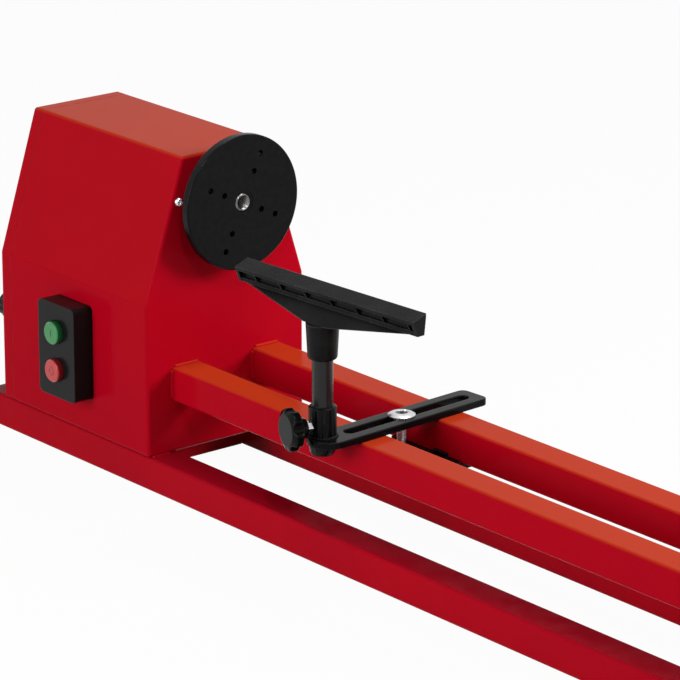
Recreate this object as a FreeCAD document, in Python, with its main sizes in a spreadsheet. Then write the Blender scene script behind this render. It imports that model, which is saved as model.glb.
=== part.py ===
import FreeCAD, Part
import math
import os
import Sketcher
from FreeCAD import Placement, Rotation, Vector

# Wood lathe with a folded steel headstock, two square bed tubes, a tool rest and a tailstock.
# +X runs along the spindle from the headstock to the tailstock, +Y points away from the operator,
# +Z is up. The origin is on the bench, in the middle of the four fixing holes. Millimetres.

doc = FreeCAD.newDocument("WoodLathe")

# Driving sizes

sizes = {
    # bed and base frame
    "tube_side": 30,
    "tube_wall": 2,
    "tube_corner": 2.5,
    "bed_gap": 56,
    "base_outer_width": 165,
    "bed_top_height": 106,
    "bed_overhang": 10,
    "base_length": 1430,
    "hole_inset": 18,
    "left_hole_to_face": 222,
    "fixing_hole_radius": 4.5,
    "cross_tube_setback": 47,
    "stand_end_inset": 70,
    "stand_depth": 30,
    "stand_wall": 3,
    "stand_top_overhang": 4,
    "cap_lip": 3,
    "cap_plug": 11,
    "cap_plug_clearance": 0.1,
    # headstock casing
    "casing_length": 200,
    "casing_sheet": 2,
    "casing_overhang": 1.5,
    "casing_shoulder_height": 164,
    "casing_crown": 42,
    "casing_top_width": 90,
    "casing_bend": 3.2,
    "casing_inner_bend": 1.2,
    "nose_hole_radius": 18,
    "inner_wall_setback": 130,
    "inner_wall_sheet": 3,
    "vent_width": 3.5,
    "vent_length": 42,
    "vent_pitch": 11,
    "vent_count": 7,
    "vent_height": 120,
    "face_screw_edge": 6,
    "face_screw_rise": 4,
    "face_screw_radius": 2.9,
    "face_screw_head_radius": 3.8,
    "face_screw_head_height": 3.2,
    "face_screw_reach": 12,
    "face_screw_recess": 1.4,
    # belt door
    "door_depth": 14,
    "door_sheet": 2,
    "door_gap": 0.4,
    "hinge_pin_radius": 2.5,
    "hinge_barrel_radius": 4.5,
    "hinge_offset": 5.2,
    "hinge_length": 60,
    "hinge_low": 70,
    "hinge_knuckle_gap": 0.4,
    "hinge_leaf_length": 22,
    "hinge_leaf_sheet": 1.6,
    "door_knob_radius": 12,
    "door_knob_length": 16,
    "door_knob_height": 110,
    "door_knob_inset": 16,
    "door_stud_radius": 3,
    "door_tab_thickness": 4,
    "door_tab_size": 18,
    # spindle and bearings
    "spindle_radius": 12.5,
    "spindle_pulley_seat_radius": 10,
    "spindle_collar_radius": 16,
    "spindle_collar_length": 4,
    "spindle_collar_start": 2.6,
    "spindle_nose_radius": 8,
    "spindle_nose_chamfer": 1.2,
    "centre_hole_radius": 2.6,
    "spindle_left_end": 194,
    "bearing_outer_radius": 26,
    "bearing_width": 15,
    "bearing_ring": 4,
    "bearing_seal_inset": 0.8,
    "running_fit": 0.05,
    "housing_radius": 31,
    "housing_depth": 19,
    "housing_flange": 6,
    "housing_ear_radius": 4.6,
    "housing_shoulder": 20,
    "housing_shoulder_rise": 23.4,
    "housing_lip": 2.5,
    "housing_lip_radius": 20,
    # faceplate
    "plate_radius": 58.5,
    "plate_thickness": 8,
    "plate_front": 25,
    "plate_hub_radius": 18,
    "plate_bevel": 0.8,
    "plate_hole_radius": 2.6,
    "plate_turn": 65,
    "plate_hole_a": 28,
    "plate_hole_b": 44,
    "plate_hole_c": 21.5,
    "plate_hole_d": 37.5,
    "plate_boss_radius": 10.5,
    "plate_boss_relief": 0.6,
    # pulleys, belt and motor
    "pulley_sum": 60,
    "pulley_step_one": 23.1,
    "pulley_step_two": 28.2,
    "pulley_step_three": 33.2,
    "pulley_step_four": 38.8,
    "pulley_step_pitch": 13.4,
    "pulley_rim_rise": 2,
    "groove_depth": 9,
    "groove_top_half": 5.2,
    "groove_bottom_half": 2.2,
    "pulley_end_land": 1.6,
    "pulley_start": 141,
    "belt_outer_rise": 2.6,
    "belt_thickness": 5.6,
    "belt_half_width": 3.85,
    "belt_flank": 1.2,
    "motor_centre_distance": 135,
    "motor_floor_gap": 17,
    "motor_radius": 56,
    "motor_length": 74,
    "motor_shield_length": 15,
    "motor_shield_radius": 58,
    "motor_shaft_radius": 7,
    "motor_plate_half": 62,
    "motor_plate_thickness": 4,
    "motor_lift": 6,
    "motor_slide_gap": 0.3,
    "motor_bolt_offset": 48,
    "motor_bolt_radius": 4,
    "motor_bolt_head_radius": 7.5,
    "motor_bolt_head_height": 5,
    "motor_slot_clearance": 0.5,
    # switch and cord inlet
    "switch_width": 52,
    "switch_height": 84,
    "switch_depth": 20,
    "switch_wall": 2.5,
    "switch_setback": 78,
    "switch_low": 62,
    "switch_round": 5,
    "button_radius": 10,
    "button_spacing": 34,
    "button_proud": 6,
    "button_travel": 3,
    "button_gap": 0.4,
    "button_collar": 3,
    "gland_radius": 9,
    "gland_nut_radius": 11,
    "gland_length": 16,
    "gland_nut_length": 6,
    "gland_bore_radius": 4,
    "gland_wall_gap": 6,
    "gland_height": 52,
    # tool rest carriage
    "carriage_distance": 233,
    "arm_turn": 3.4,
    "arm_thickness": 6,
    "arm_width": 31,
    "arm_rear_reach": 84.5,
    "arm_corner": 6.5,
    "arm_nose_overhang": 5.5,
    "post_reach": 80.1,
    "post_side_offset": 7.2,
    "slot_half_width": 5.2,
    "slot_front": 62.5,
    "slot_rear": 74,
    "bed_slide_gap": 0.2,
    "bolt_head_radius": 11.4,
    "bolt_head_height": 3.2,
    "bolt_neck_half": 5,
    "bolt_radius": 4,
    "bolt_length": 63,
    "clamp_plate_half_length": 42,
    "clamp_plate_half_width": 46,
    "clamp_plate_thickness": 5,
    "clamp_flange_height": 2.5,
    "clamp_flange_wall": 3,
    "clamp_flange_gap": 0.5,
    "clamp_lug_start": 10.5,
    "clamp_lug_length": 16,
    "clamp_lug_rise": 3,
    "clamp_hub_radius": 13,
    "clamp_hub_length": 13,
    "clamp_hub_gap": 0.3,
    "lever_radius": 5,
    "lever_length": 82,
    "lever_drop_angle": 2,
    "lever_grip_radius": 7,
    "lever_grip_length": 34,
    "sleeve_radius": 11.4,
    "sleeve_drop": 9,
    "sleeve_rise": 31.5,
    "post_radius": 8.6,
    "post_bottom_rise": -7,
    "knob_height": 15,
    "knob_turn": 13,
    "knob_radius": 17.6,
    "knob_back_radius": 10,
    "knob_length": 17.5,
    "knob_start": 15.5,
    "knob_lobe_radius": 7,
    "knob_lobe_depth": 3.5,
    "knob_screw_radius": 3,
    "knob_nut_radius": 5,
    "knob_nut_length": 3.6,
    "knob_tip_gap": 0.3,
    # tool rest casting
    "rest_turn": 4,
    "rest_length": 208,
    "rest_top_height": 129.6,
    "rest_top_drop": 5,
    "rest_front": -0.5,
    "rest_rear": 13.5,
    "rest_depth": 17.6,
    "rest_foot_front": 4.4,
    "rest_foot_rear": 11.7,
    "rest_lip": 3,
    "rest_foot": 3.4,
    "rest_channel_back": 6.2,
    "rest_waist_rear": 9.4,
    "rest_rib": 1.8,
    "rest_end_wall": 3,
    "rest_rib_pitch": 29.7,
    "rest_rib_count": 7,
    "rest_first_rib": 20,
    "boss_top_height": 101,
    "boss_bottom_height": 71,
    "boss_top_radius": 13.6,
    "boss_bottom_radius": 12.2,
    "boss_round": 3,
    "boss_bore_depth": 20,
    # tailstock
    "tail_end_gap": 185,
    "tail_length": 100,
    "tail_base_height": 18,
    "tail_neck_half_width": 26,
    "tail_column_length": 52,
    "tail_tongue_depth": 8,
    "tail_tongue_gap": 0.4,
    "barrel_radius": 26,
    "barrel_length": 120,
    "barrel_round": 3,
    "quill_radius": 14,
    "quill_out": 14,
    "quill_end_gap": 16,
    "quill_travel": 55,
    "quill_screw_radius": 7,
    "quill_seat_radius": 9,
    "quill_seat_depth": 26,
    "tail_cap_thickness": 8,
    "tail_cap_radius": 24,
    "wheel_radius": 55,
    "wheel_rim_radius": 7,
    "wheel_hub_radius": 15,
    "wheel_hub_length": 26,
    "wheel_spoke_thickness": 7,
    "wheel_spoke_width": 15,
    "wheel_spoke_count": 3,
    "wheel_gap": 1,
    "grip_radius": 8.5,
    "grip_length": 48,
    "grip_pin_radius": 3.5,
    "grip_gap": 0.4,
    "centre_body_radius": 13,
    "centre_body_length": 18,
    "centre_shank_length": 24,
    "centre_point_radius": 8,
    "centre_point_neck": 5,
    "centre_point_length": 15,
    "centre_gap": 0.5,
    "lock_setback": 22,
    "lock_screw_radius": 4,
    "lock_boss_radius": 10,
    "lock_boss_height": 6,
    "lock_hub_radius": 8,
    "lock_hub_height": 14,
    "lock_lever_radius": 4,
    "lock_lever_length": 40,
    "lock_ball_radius": 8,
    "tail_bolt_length": 82,
    "tail_bolt_head_radius": 9,
    "tail_bolt_head_height": 6,
    "tail_clamp_half_length": 38,
    # shared
    "hexagon_sides": 6,
    "overrun": 1,
}

sheet = doc.addObject("Spreadsheet::Sheet", "Sizes")
for row, (alias, number) in enumerate(sizes.items(), 1):
    sheet.set(f"A{row}", alias)
    sheet.set(f"B{row}", str(number))
    sheet.setAlias(f"B{row}", alias)
doc.recompute()


class Size:
    """A length or count from the sheet, or a sum of them: its number and its expression."""

    def __init__(self, value, text):
        self.value = value
        self.text = text

    def __add__(self, other):
        other = as_size(other)
        return Size(self.value + other.value, f"({self.text} + {other.text})")

    def __sub__(self, other):
        other = as_size(other)
        return Size(self.value - other.value, f"({self.text} - {other.text})")

    def __mul__(self, other):
        other = as_size(other)
        return Size(self.value * other.value, f"({self.text} * {other.text})")

    def __truediv__(self, other):
        other = as_size(other)
        return Size(self.value / other.value, f"({self.text} / {other.text})")

    def __neg__(self):
        return Size(-self.value, f"(-1 * {self.text})")

    def __radd__(self, other):
        return as_size(other) + self

    def __rsub__(self, other):
        return as_size(other) - self

    def __rmul__(self, other):
        return as_size(other) * self


class SheetSizes:
    """Reads a cell of the sheet by its alias."""

    def __getattr__(self, alias):
        return Size(float(sizes[alias]), f"Sizes.{alias}")


def as_size(number):
    if isinstance(number, Size):
        return number
    return Size(float(number), repr(number))


def cosine(angle):
    return Size(math.cos(math.radians(angle.value)), f"cos({angle.text} * 1 deg)")


def sine(angle):
    return Size(math.sin(math.radians(angle.value)), f"sin({angle.text} * 1 deg)")


def root(square):
    return Size(math.sqrt(square.value), f"sqrt({square.text})")


s = SheetSizes()
zero = as_size(0)
FULL_TURN = 360
parts = {}


# Working with the document

def bind(thing, prop, size):
    thing.setExpression(prop, as_size(size).text)


def move(thing, x, y, z, rotation=None):
    """Places a piece, its position bound to the sheet, and turns it about that point."""
    spot = [as_size(value) for value in (x, y, z)]
    turn = rotation or Rotation()
    thing.Placement = Placement(Vector(*[value.value for value in spot]), turn)
    for name, value in zip("xyz", spot):
        bind(thing, f"Placement.Base.{name}", value)
    return thing


def block(name, x, y, z):
    """A box between two limits on each axis."""
    thing = doc.addObject("Part::Box", name)
    for prop, (low, high) in zip(("Length", "Width", "Height"), (x, y, z)):
        bind(thing, prop, as_size(high) - low)
    return move(thing, x[0], y[0], z[0])


TURNS = {
    "x": Rotation(Vector(0, 1, 0), 90),
    "-x": Rotation(Vector(0, 1, 0), -90),
    "y": Rotation(Vector(1, 0, 0), -90),
    "-y": Rotation(Vector(1, 0, 0), 90),
    "z": Rotation(),
    "-z": Rotation(Vector(1, 0, 0), 180),
}


def rod(name, along, start, radius, length):
    """A cylinder that starts at a point and runs along an axis."""
    thing = doc.addObject("Part::Cylinder", name)
    bind(thing, "Radius", radius)
    bind(thing, "Height", length)
    return move(thing, *start, TURNS[along])


def cut(name, base, *tools):
    thing = doc.addObject("Part::Cut", name)
    thing.Base = base
    thing.Tool = tools[0] if len(tools) == 1 else fuse(f"{name}_tools", *tools)
    return thing


def fuse(name, *pieces):
    thing = doc.addObject("Part::MultiFuse", name)
    thing.Shapes = list(pieces)
    return thing


def group(name, *pieces):
    """Separate solids that share one node."""
    thing = doc.addObject("Part::Compound", name)
    thing.Links = list(pieces)
    return thing


def keep(label, thing):
    """Registers a finished sub-part under the name of its file."""
    thing.Label = label
    parts[label] = thing
    return thing


def new_body(name, x=0, y=0, z=0, rotation=None):
    return move(doc.addObject("PartDesign::Body", name), x, y, z, rotation)


def new_sketch(body, plane, offset=None):
    """A sketch on one of the body's own origin planes, moved along its normal by offset."""
    sketch = body.newObject("Sketcher::SketchObject", f"{body.Name}_sketch")
    origin = [feature for feature in body.Origin.OriginFeatures if feature.Role == plane]
    sketch.AttachmentSupport = (origin[0], [""])
    sketch.MapMode = "FlatFace"
    if offset is not None:
        bind(sketch, "AttachmentOffset.Base.z", offset)
    return sketch


def fix_point(sketch, geometry, end, x, y):
    for kind, size in (("DistanceX", x), ("DistanceY", y)):
        number = sketch.addConstraint(Sketcher.Constraint(kind, geometry, end, size.value))
        bind(sketch, f"Constraints[{number}]", size)


def outline(sketch, corners):
    """A closed outline. A corner is (x, y), or (x, y, radius) when an arc starts there.

    A positive radius turns to the left of the way from this corner to the next. A fourth value
    asks for the long way round.
    """
    points = [(as_size(corner[0]), as_size(corner[1])) for corner in corners]
    count = len(points)
    first = sketch.GeometryCount
    reversed_edges = set()
    for index, corner in enumerate(corners):
        start = Vector(points[index][0].value, points[index][1].value, 0)
        finish_x, finish_y = points[(index + 1) % count]
        finish = Vector(finish_x.value, finish_y.value, 0)
        if len(corner) == 2:
            sketch.addGeometry(Part.LineSegment(start, finish), False)
            continue
        radius = as_size(corner[2])
        size = abs(radius.value)
        half = (finish - start) * 0.5
        rise = math.sqrt(max(size * size - half.Length * half.Length, 0))
        side = Vector(-half.y, half.x, 0).normalize()
        left = radius.value > 0
        centre = start + half + side * (rise if left == (len(corner) == 3) else -rise)
        low, high = (start, finish) if left else (finish, start)
        angles = [math.atan2(point.y - centre.y, point.x - centre.x) for point in (low, high)]
        circle = Part.Circle(centre, Vector(0, 0, 1), size)
        sketch.addGeometry(Part.ArcOfCircle(circle, angles[0], angles[1]), False)
        if not left:
            reversed_edges.add(index)
        if rise > size / 1000:
            number = sketch.addConstraint(Sketcher.Constraint("Radius", first + index, size))
            bind(sketch, f"Constraints[{number}]", radius if left else -radius)
        else:
            across = abs(half.x) > abs(half.y)
            ends = (points[index][1] + finish_y) if across else (points[index][0] + finish_x)
            kind = "DistanceY" if across else "DistanceX"
            middle = ends / 2
            number = sketch.addConstraint(Sketcher.Constraint(kind, first + index, 3, middle.value))
            bind(sketch, f"Constraints[{number}]", middle)
    for index in range(count):
        after = (index + 1) % count
        end = 1 if index in reversed_edges else 2
        start = 2 if after in reversed_edges else 1
        sketch.addConstraint(Sketcher.Constraint("Coincident", first + index, end, first + after, start))
    for index, (x, y) in enumerate(points):
        fix_point(sketch, first + index, 2 if index in reversed_edges else 1, x, y)
    return sketch


def rectangle(sketch, x, y):
    return outline(sketch, [(x[0], y[0]), (x[1], y[0]), (x[1], y[1]), (x[0], y[1])])


def circle(sketch, x, y, radius):
    x, y, radius = as_size(x), as_size(y), as_size(radius)
    shape = Part.Circle(Vector(x.value, y.value, 0), Vector(0, 0, 1), radius.value)
    geometry = sketch.addGeometry(shape, False)
    number = sketch.addConstraint(Sketcher.Constraint("Radius", geometry, radius.value))
    bind(sketch, f"Constraints[{number}]", radius)
    fix_point(sketch, geometry, 3, x, y)
    return sketch


def obround(sketch, x, y, half_width):
    """A slot outline along the sketch's Y, between the centres of its round ends."""
    return outline(sketch, [
        (as_size(x) + half_width, y[0]),
        (as_size(x) + half_width, y[1], half_width),
        (as_size(x) - half_width, y[1]),
        (as_size(x) - half_width, y[0], half_width),
    ])


def pad(body, sketch, length, backwards=False):
    feature = body.newObject("PartDesign::Pad", f"{body.Name}_pad")
    feature.Profile = sketch
    feature.Reversed = backwards
    bind(feature, "Length", length)
    return feature


def pocket(body, sketch, depth=None, backwards=False):
    """Cuts against the sketch's normal, or along it when backwards, all the way with no depth."""
    feature = body.newObject("PartDesign::Pocket", f"{body.Name}_pocket")
    feature.Profile = sketch
    feature.Reversed = backwards
    if depth is None:
        feature.Type = "ThroughAll"
    else:
        bind(feature, "Length", depth)
    return feature


def revolve(body, sketch, kind="PartDesign::Revolution", axis="H_Axis"):
    feature = body.newObject(kind, f"{body.Name}_turned")
    feature.Profile = sketch
    feature.ReferenceAxis = (sketch, [axis])
    feature.Angle = 360
    return feature


def edges_where(feature, test):
    doc.recompute()
    return [f"Edge{number}" for number, edge in enumerate(feature.Shape.Edges, 1) if test(edge.BoundBox)]


def soften(body, feature, size, test, kind="PartDesign::Fillet"):
    """Rounds or bevels the edges of a feature whose bounds pass the test."""
    softened = body.newObject(kind, f"{body.Name}_soft")
    softened.Base = (feature, edges_where(feature, test))
    bind(softened, "Radius" if kind.endswith("Fillet") else "Size", size)
    return softened


def turned(name, x, y, z, profile, rotation=None):
    """A lathe-turned piece about its own X axis, from points of (along, radius)."""
    body = new_body(name, x, y, z, rotation)
    revolve(body, outline(new_sketch(body, "XY_Plane"), profile))
    return body


def near(value, size):
    return abs(value - as_size(size).value) < 1e-4


def flat(value):
    return value < 1e-4


# Main places

hole_span = s.base_length - s.hole_inset * 2
face = s.left_hole_to_face - hole_span / 2
base_right = s.base_length / 2
base_left = -base_right
stand_left = base_right - s.stand_end_inset
stand_right = stand_left + s.stand_depth
bed_right = stand_right + s.bed_overhang
bed_bottom = s.bed_top_height - s.tube_side
bed_half_gap = s.bed_gap / 2
bed_half_width = bed_half_gap + s.tube_side
base_half_width = s.base_outer_width / 2
base_half_gap = base_half_width - s.tube_side
casing_left = face - s.casing_length
wall_right = face - s.inner_wall_setback
wall_left = wall_right - s.inner_wall_sheet
motor_height = s.tube_side + s.casing_sheet + s.motor_floor_gap + s.motor_plate_half
spindle_height = motor_height + s.motor_centre_distance
casing_top_height = spindle_height + s.casing_crown


# Square tubes of the base frame and the bed

def tube_section(sketch):
    """Outer and inner square of a tube, from its lower left corner."""
    rectangle(sketch, (zero, s.tube_side), (zero, s.tube_side))
    inner = s.tube_side - s.tube_wall
    rectangle(sketch, (s.tube_wall, inner), (s.tube_wall, inner))
    return sketch


def long_tube(name, x, y, z, length):
    body = new_body(name, x, y, z)
    feature = pad(body, tube_section(new_sketch(body, "YZ_Plane")), length)

    def outer_corner(box):
        side = [near(box.YMin, limit) for limit in (zero, s.tube_side)]
        level = [near(box.ZMin, limit) for limit in (zero, s.tube_side)]
        return flat(box.YLength) and flat(box.ZLength) and any(side) and any(level)

    soften(body, feature, s.tube_corner, outer_corner)
    return body


def cross_tube(name, x, y, z, length):
    body = new_body(name, x, y, z)
    feature = pad(body, tube_section(new_sketch(body, "XZ_Plane")), length, backwards=True)

    def outer_corner(box):
        side = [near(box.XMin, limit) for limit in (zero, s.tube_side)]
        level = [near(box.ZMin, limit) for limit in (zero, s.tube_side)]
        return flat(box.XLength) and flat(box.ZLength) and any(side) and any(level)

    soften(body, feature, s.tube_corner, outer_corner)
    return body


for name, side in (("base_rail_front", -1), ("base_rail_rear", 1)):
    low_y = base_half_gap if side > 0 else -base_half_width
    rail = long_tube(name, base_left, low_y, zero, s.base_length)
    holes = new_sketch(rail, "XY_Plane")
    for hole_x in (-hole_span / 2 - base_left, hole_span / 2 - base_left):
        circle(holes, hole_x, s.tube_side / 2, s.fixing_hole_radius)
    pocket(rail, holes, backwards=True)
    keep(name, rail)

cross_places = {
    "cross_tube_left": casing_left,
    "cross_tube_middle": face - s.cross_tube_setback - s.tube_side,
    "cross_tube_right": stand_left,
}
for name, cross_x in cross_places.items():
    keep(name, cross_tube(name, cross_x, -base_half_gap, zero, base_half_gap * 2))

for name, low_y in (("bed_rail_front", -bed_half_width), ("bed_rail_rear", bed_half_gap)):
    keep(name, long_tube(name, face, low_y, bed_bottom, bed_right - face))


# Folded stand under the right end of the bed

stand = new_body("end_stand", stand_left, zero, s.tube_side)
stand_rise = bed_bottom - s.tube_side
stand_top_half = bed_half_width + s.stand_top_overhang


def stand_outline(sketch, inset):
    """Sloping sides between the base frame and the bed, moved inwards by inset."""
    low = base_half_width - inset
    high = stand_top_half - inset
    return outline(sketch, [
        (-low, inset), (low, inset), (high, stand_rise - inset), (-high, stand_rise - inset),
    ])


pad(stand, stand_outline(new_sketch(stand, "YZ_Plane"), zero), s.stand_depth)
pocket(stand, stand_outline(new_sketch(stand, "YZ_Plane", s.stand_wall), s.stand_wall),
       s.stand_depth, backwards=True)
keep("end_stand", stand)


# Black plastic caps in the open ends of the tubes

def tube_cap(name, x, y, z, outwards):
    """A cap whose plug points into the tube; outwards is 1 at a right end, -1 at a left end."""
    body = new_body(name, x, y, z, Rotation() if outwards > 0 else Rotation(Vector(0, 0, 1), 180))
    half = s.tube_side / 2
    feature = pad(body, rectangle(new_sketch(body, "YZ_Plane"), (-half, half), (-half, half)), s.cap_lip)
    soften(body, feature, s.tube_corner, lambda box: flat(box.YLength) and flat(box.ZLength))
    doc.recompute()
    plug = half - s.tube_wall - s.cap_plug_clearance
    pad(body, rectangle(new_sketch(body, "YZ_Plane"), (-plug, plug), (-plug, plug)), s.cap_plug,
        backwards=True)
    return body


cap_places = []
for side in (-1, 1):
    base_middle = (base_half_width - s.tube_side / 2) * side
    bed_middle = (bed_half_width - s.tube_side / 2) * side
    cap_places.append((base_left, base_middle, s.tube_side / 2, -1))
    cap_places.append((base_right, base_middle, s.tube_side / 2, 1))
    cap_places.append((bed_right, bed_middle, bed_bottom + s.tube_side / 2, 1))
caps = [tube_cap(f"cap_{number}", *place) for number, place in enumerate(cap_places)]
keep("tube_end_caps", group("tube_end_caps", *caps))


# Headstock casing, folded from sheet

casing_half = base_half_width + s.casing_overhang
casing_top_half = s.casing_top_width / 2


def house(name, left, right, inset, bend, rounded_end=None):
    """A solid with the casing's outline, moved inwards by inset, its folds and perhaps one end rounded."""
    body = new_body(name, left, zero, zero)
    slope = root((casing_half - casing_top_half) * (casing_half - casing_top_half)
                 + (casing_top_height - s.casing_shoulder_height)
                 * (casing_top_height - s.casing_shoulder_height))
    lean = (casing_half - casing_top_half) / slope
    rise = (casing_top_height - s.casing_shoulder_height) / slope
    shoulder = s.casing_shoulder_height - inset * (1 - rise) / lean
    top_half = casing_top_half - inset * (1 - lean) / rise
    low = s.tube_side + inset
    top = casing_top_height - inset
    half = casing_half - inset
    sketch = outline(new_sketch(body, "YZ_Plane"), [
        (-half, low), (half, low), (half, shoulder), (top_half, top), (-top_half, top), (-half, shoulder),
    ])
    length = right - left
    feature = pad(body, sketch, length)
    folds = soften(body, feature, bend, lambda box: box.XLength > s.overrun.value)
    if rounded_end == "right":
        soften(body, folds, bend, lambda box: near(box.XMin, length))
    if rounded_end == "left":
        soften(body, folds, bend, lambda box: near(box.XMax, zero))
    return body


casing_outer = house("casing_outer", casing_left, face, zero, s.casing_bend, "right")
casing_inner = house("casing_inner", casing_left - s.overrun, face - s.casing_sheet, s.casing_sheet,
                     s.casing_inner_bend, "right")
nose_hole = rod("nose_hole", "x", (face - s.casing_sheet - s.overrun, zero, spindle_height),
                s.nose_hole_radius, s.casing_sheet + s.overrun * 2)
face_screw_height = spindle_height + s.face_screw_rise
ear_top = face_screw_height + s.housing_ear_radius
side_slope = (casing_half - casing_top_half) / (casing_top_height - s.casing_shoulder_height)
face_screw_offset = casing_half - side_slope * (ear_top - s.casing_shoulder_height) - s.face_screw_edge
face_screw_holes = [
    rod(f"face_screw_hole_{number}", "x",
        (face - s.casing_sheet - s.overrun, face_screw_offset * side, face_screw_height),
        s.face_screw_radius, s.casing_sheet + s.overrun * 2)
    for number, side in enumerate((-1, 1))
]
vents = []
vent_start = face - s.casing_sheet - s.vent_pitch * 2
for number in range(int(s.vent_count.value)):
    vent_x = vent_start - s.vent_pitch * number
    vents.append(block(f"vent_{number}", (vent_x - s.vent_width, vent_x),
                       (casing_half - s.casing_sheet - s.overrun, casing_half + s.overrun),
                       (s.vent_height - s.vent_length, s.vent_height)))
gland_x = wall_left - s.gland_wall_gap - s.gland_nut_radius
gland_hole = rod("gland_hole", "y", (gland_x, casing_half - s.casing_sheet - s.overrun, s.gland_height),
                 s.gland_radius, s.casing_sheet + s.overrun * 2)
switch_left = face - s.switch_setback - s.switch_width
switch_middle = switch_left + s.switch_width / 2
switch_centre = s.switch_low + s.switch_height / 2
switch_hole = block("switch_hole", (switch_left + s.switch_wall * 2, switch_left + s.switch_width - s.switch_wall * 2),
                    (-casing_half - s.overrun, -casing_half + s.casing_sheet + s.overrun),
                    (s.switch_low + s.switch_wall * 2, s.switch_low + s.switch_height - s.switch_wall * 2))
casing = cut("headstock_casing", casing_outer, casing_inner, nose_hole, *face_screw_holes, *vents,
             gland_hole, switch_hole)
keep("headstock_casing", casing)


# Inner wall that carries the left bearing and the motor

wall_blank = house("inner_wall_blank", wall_left, wall_right, s.casing_sheet, s.casing_inner_bend)
wall_spindle_hole = rod("wall_spindle_hole", "x", (wall_left - s.overrun, zero, spindle_height),
                        s.nose_hole_radius, s.inner_wall_sheet + s.overrun * 2)


def motor_slot(name, y, radius):
    """An upright slot in the inner wall, long enough for the motor's lift."""
    body = new_body(name, wall_left - s.overrun, y, motor_height)
    slot = obround(new_sketch(body, "YZ_Plane"), zero, (zero, s.motor_lift), radius)
    pad(body, slot, s.inner_wall_sheet + s.overrun * 2)
    return body


shaft_slot = motor_slot("shaft_slot", zero, s.motor_shaft_radius + s.motor_slot_clearance * 4)
bolt_slots = [
    motor_slot(f"bolt_slot_{number}", s.motor_bolt_offset * side, s.motor_bolt_radius + s.motor_slot_clearance)
    for number, side in enumerate((-1, 1))
]
wall_screw_holes = [
    rod(f"wall_screw_hole_{number}", "x", (wall_left - s.overrun, face_screw_offset * side, face_screw_height),
        s.face_screw_radius, s.inner_wall_sheet + s.overrun * 2)
    for number, side in enumerate((-1, 1))
]
keep("inner_wall", cut("inner_wall", wall_blank, wall_spindle_hole, shaft_slot, *bolt_slots, *wall_screw_holes))


# Bearing housings, bearings and their screws

def bearing_housing(name, flange_face, turn):
    """A two-eared flange against a wall with the bearing's round seat standing off it, to the left at no turn."""
    body = new_body(name, flange_face, zero, spindle_height, turn)
    ear = face_screw_offset
    ear_low = s.face_screw_rise - s.housing_ear_radius
    ear_high = s.face_screw_rise + s.housing_ear_radius
    shoulder = s.housing_shoulder
    rise = s.housing_shoulder_rise
    flange = outline(new_sketch(body, "YZ_Plane"), [
        (ear, ear_low, s.housing_ear_radius), (ear, ear_high), (shoulder, rise), (-shoulder, rise),
        (-ear, ear_high, s.housing_ear_radius), (-ear, ear_low), (-shoulder, -rise), (shoulder, -rise),
    ])
    pad(body, flange, s.housing_flange, backwards=True)
    pad(body, circle(new_sketch(body, "YZ_Plane"), zero, zero, s.housing_radius), s.housing_depth,
        backwards=True)
    seat = circle(new_sketch(body, "YZ_Plane", -s.housing_lip), zero, zero, s.bearing_outer_radius)
    pocket(body, seat, s.housing_depth)
    pocket(body, circle(new_sketch(body, "YZ_Plane"), zero, zero, s.housing_lip_radius))
    screws = new_sketch(body, "YZ_Plane")
    for side in (-1, 1):
        circle(screws, face_screw_offset * side, s.face_screw_rise, s.face_screw_radius)
    pocket(body, screws)
    return body


about_face = Rotation(Vector(0, 0, 1), 180)
ring_inset = s.housing_lip + s.bearing_width
housings = {
    "front_bearing_housing": (face - s.casing_sheet, Rotation(), -ring_inset),
    "rear_bearing_housing": (wall_right, about_face, s.housing_lip),
}
outer_rings, inner_rings, seals = [], [], []
inner_ring_radius = s.spindle_radius + s.bearing_ring
outer_ring_radius = s.bearing_outer_radius - s.bearing_ring
for number, (name, (flange_face, turn, ring_offset)) in enumerate(housings.items()):
    keep(name, bearing_housing(name, flange_face, turn))
    ring_x = flange_face + ring_offset
    ring_end = s.bearing_width
    outer_rings.append(turned(f"outer_ring_{number}", ring_x, zero, spindle_height, [
        (zero, outer_ring_radius), (ring_end, outer_ring_radius),
        (ring_end, s.bearing_outer_radius), (zero, s.bearing_outer_radius),
    ]))
    inner_rings.append(turned(f"inner_ring_{number}", ring_x, zero, spindle_height, [
        (zero, s.spindle_radius), (ring_end, s.spindle_radius),
        (ring_end, inner_ring_radius), (zero, inner_ring_radius),
    ]))
    seals.append(turned(f"seal_{number}", ring_x, zero, spindle_height, [
        (s.bearing_seal_inset, inner_ring_radius + s.running_fit),
        (ring_end - s.bearing_seal_inset, inner_ring_radius + s.running_fit),
        (ring_end - s.bearing_seal_inset, outer_ring_radius), (s.bearing_seal_inset, outer_ring_radius),
    ]))
keep("bearing_outer_rings", group("bearing_outer_rings", *outer_rings))
keep("bearing_inner_rings", group("bearing_inner_rings", *inner_rings))
keep("bearing_seals", group("bearing_seals", *seals))


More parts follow.
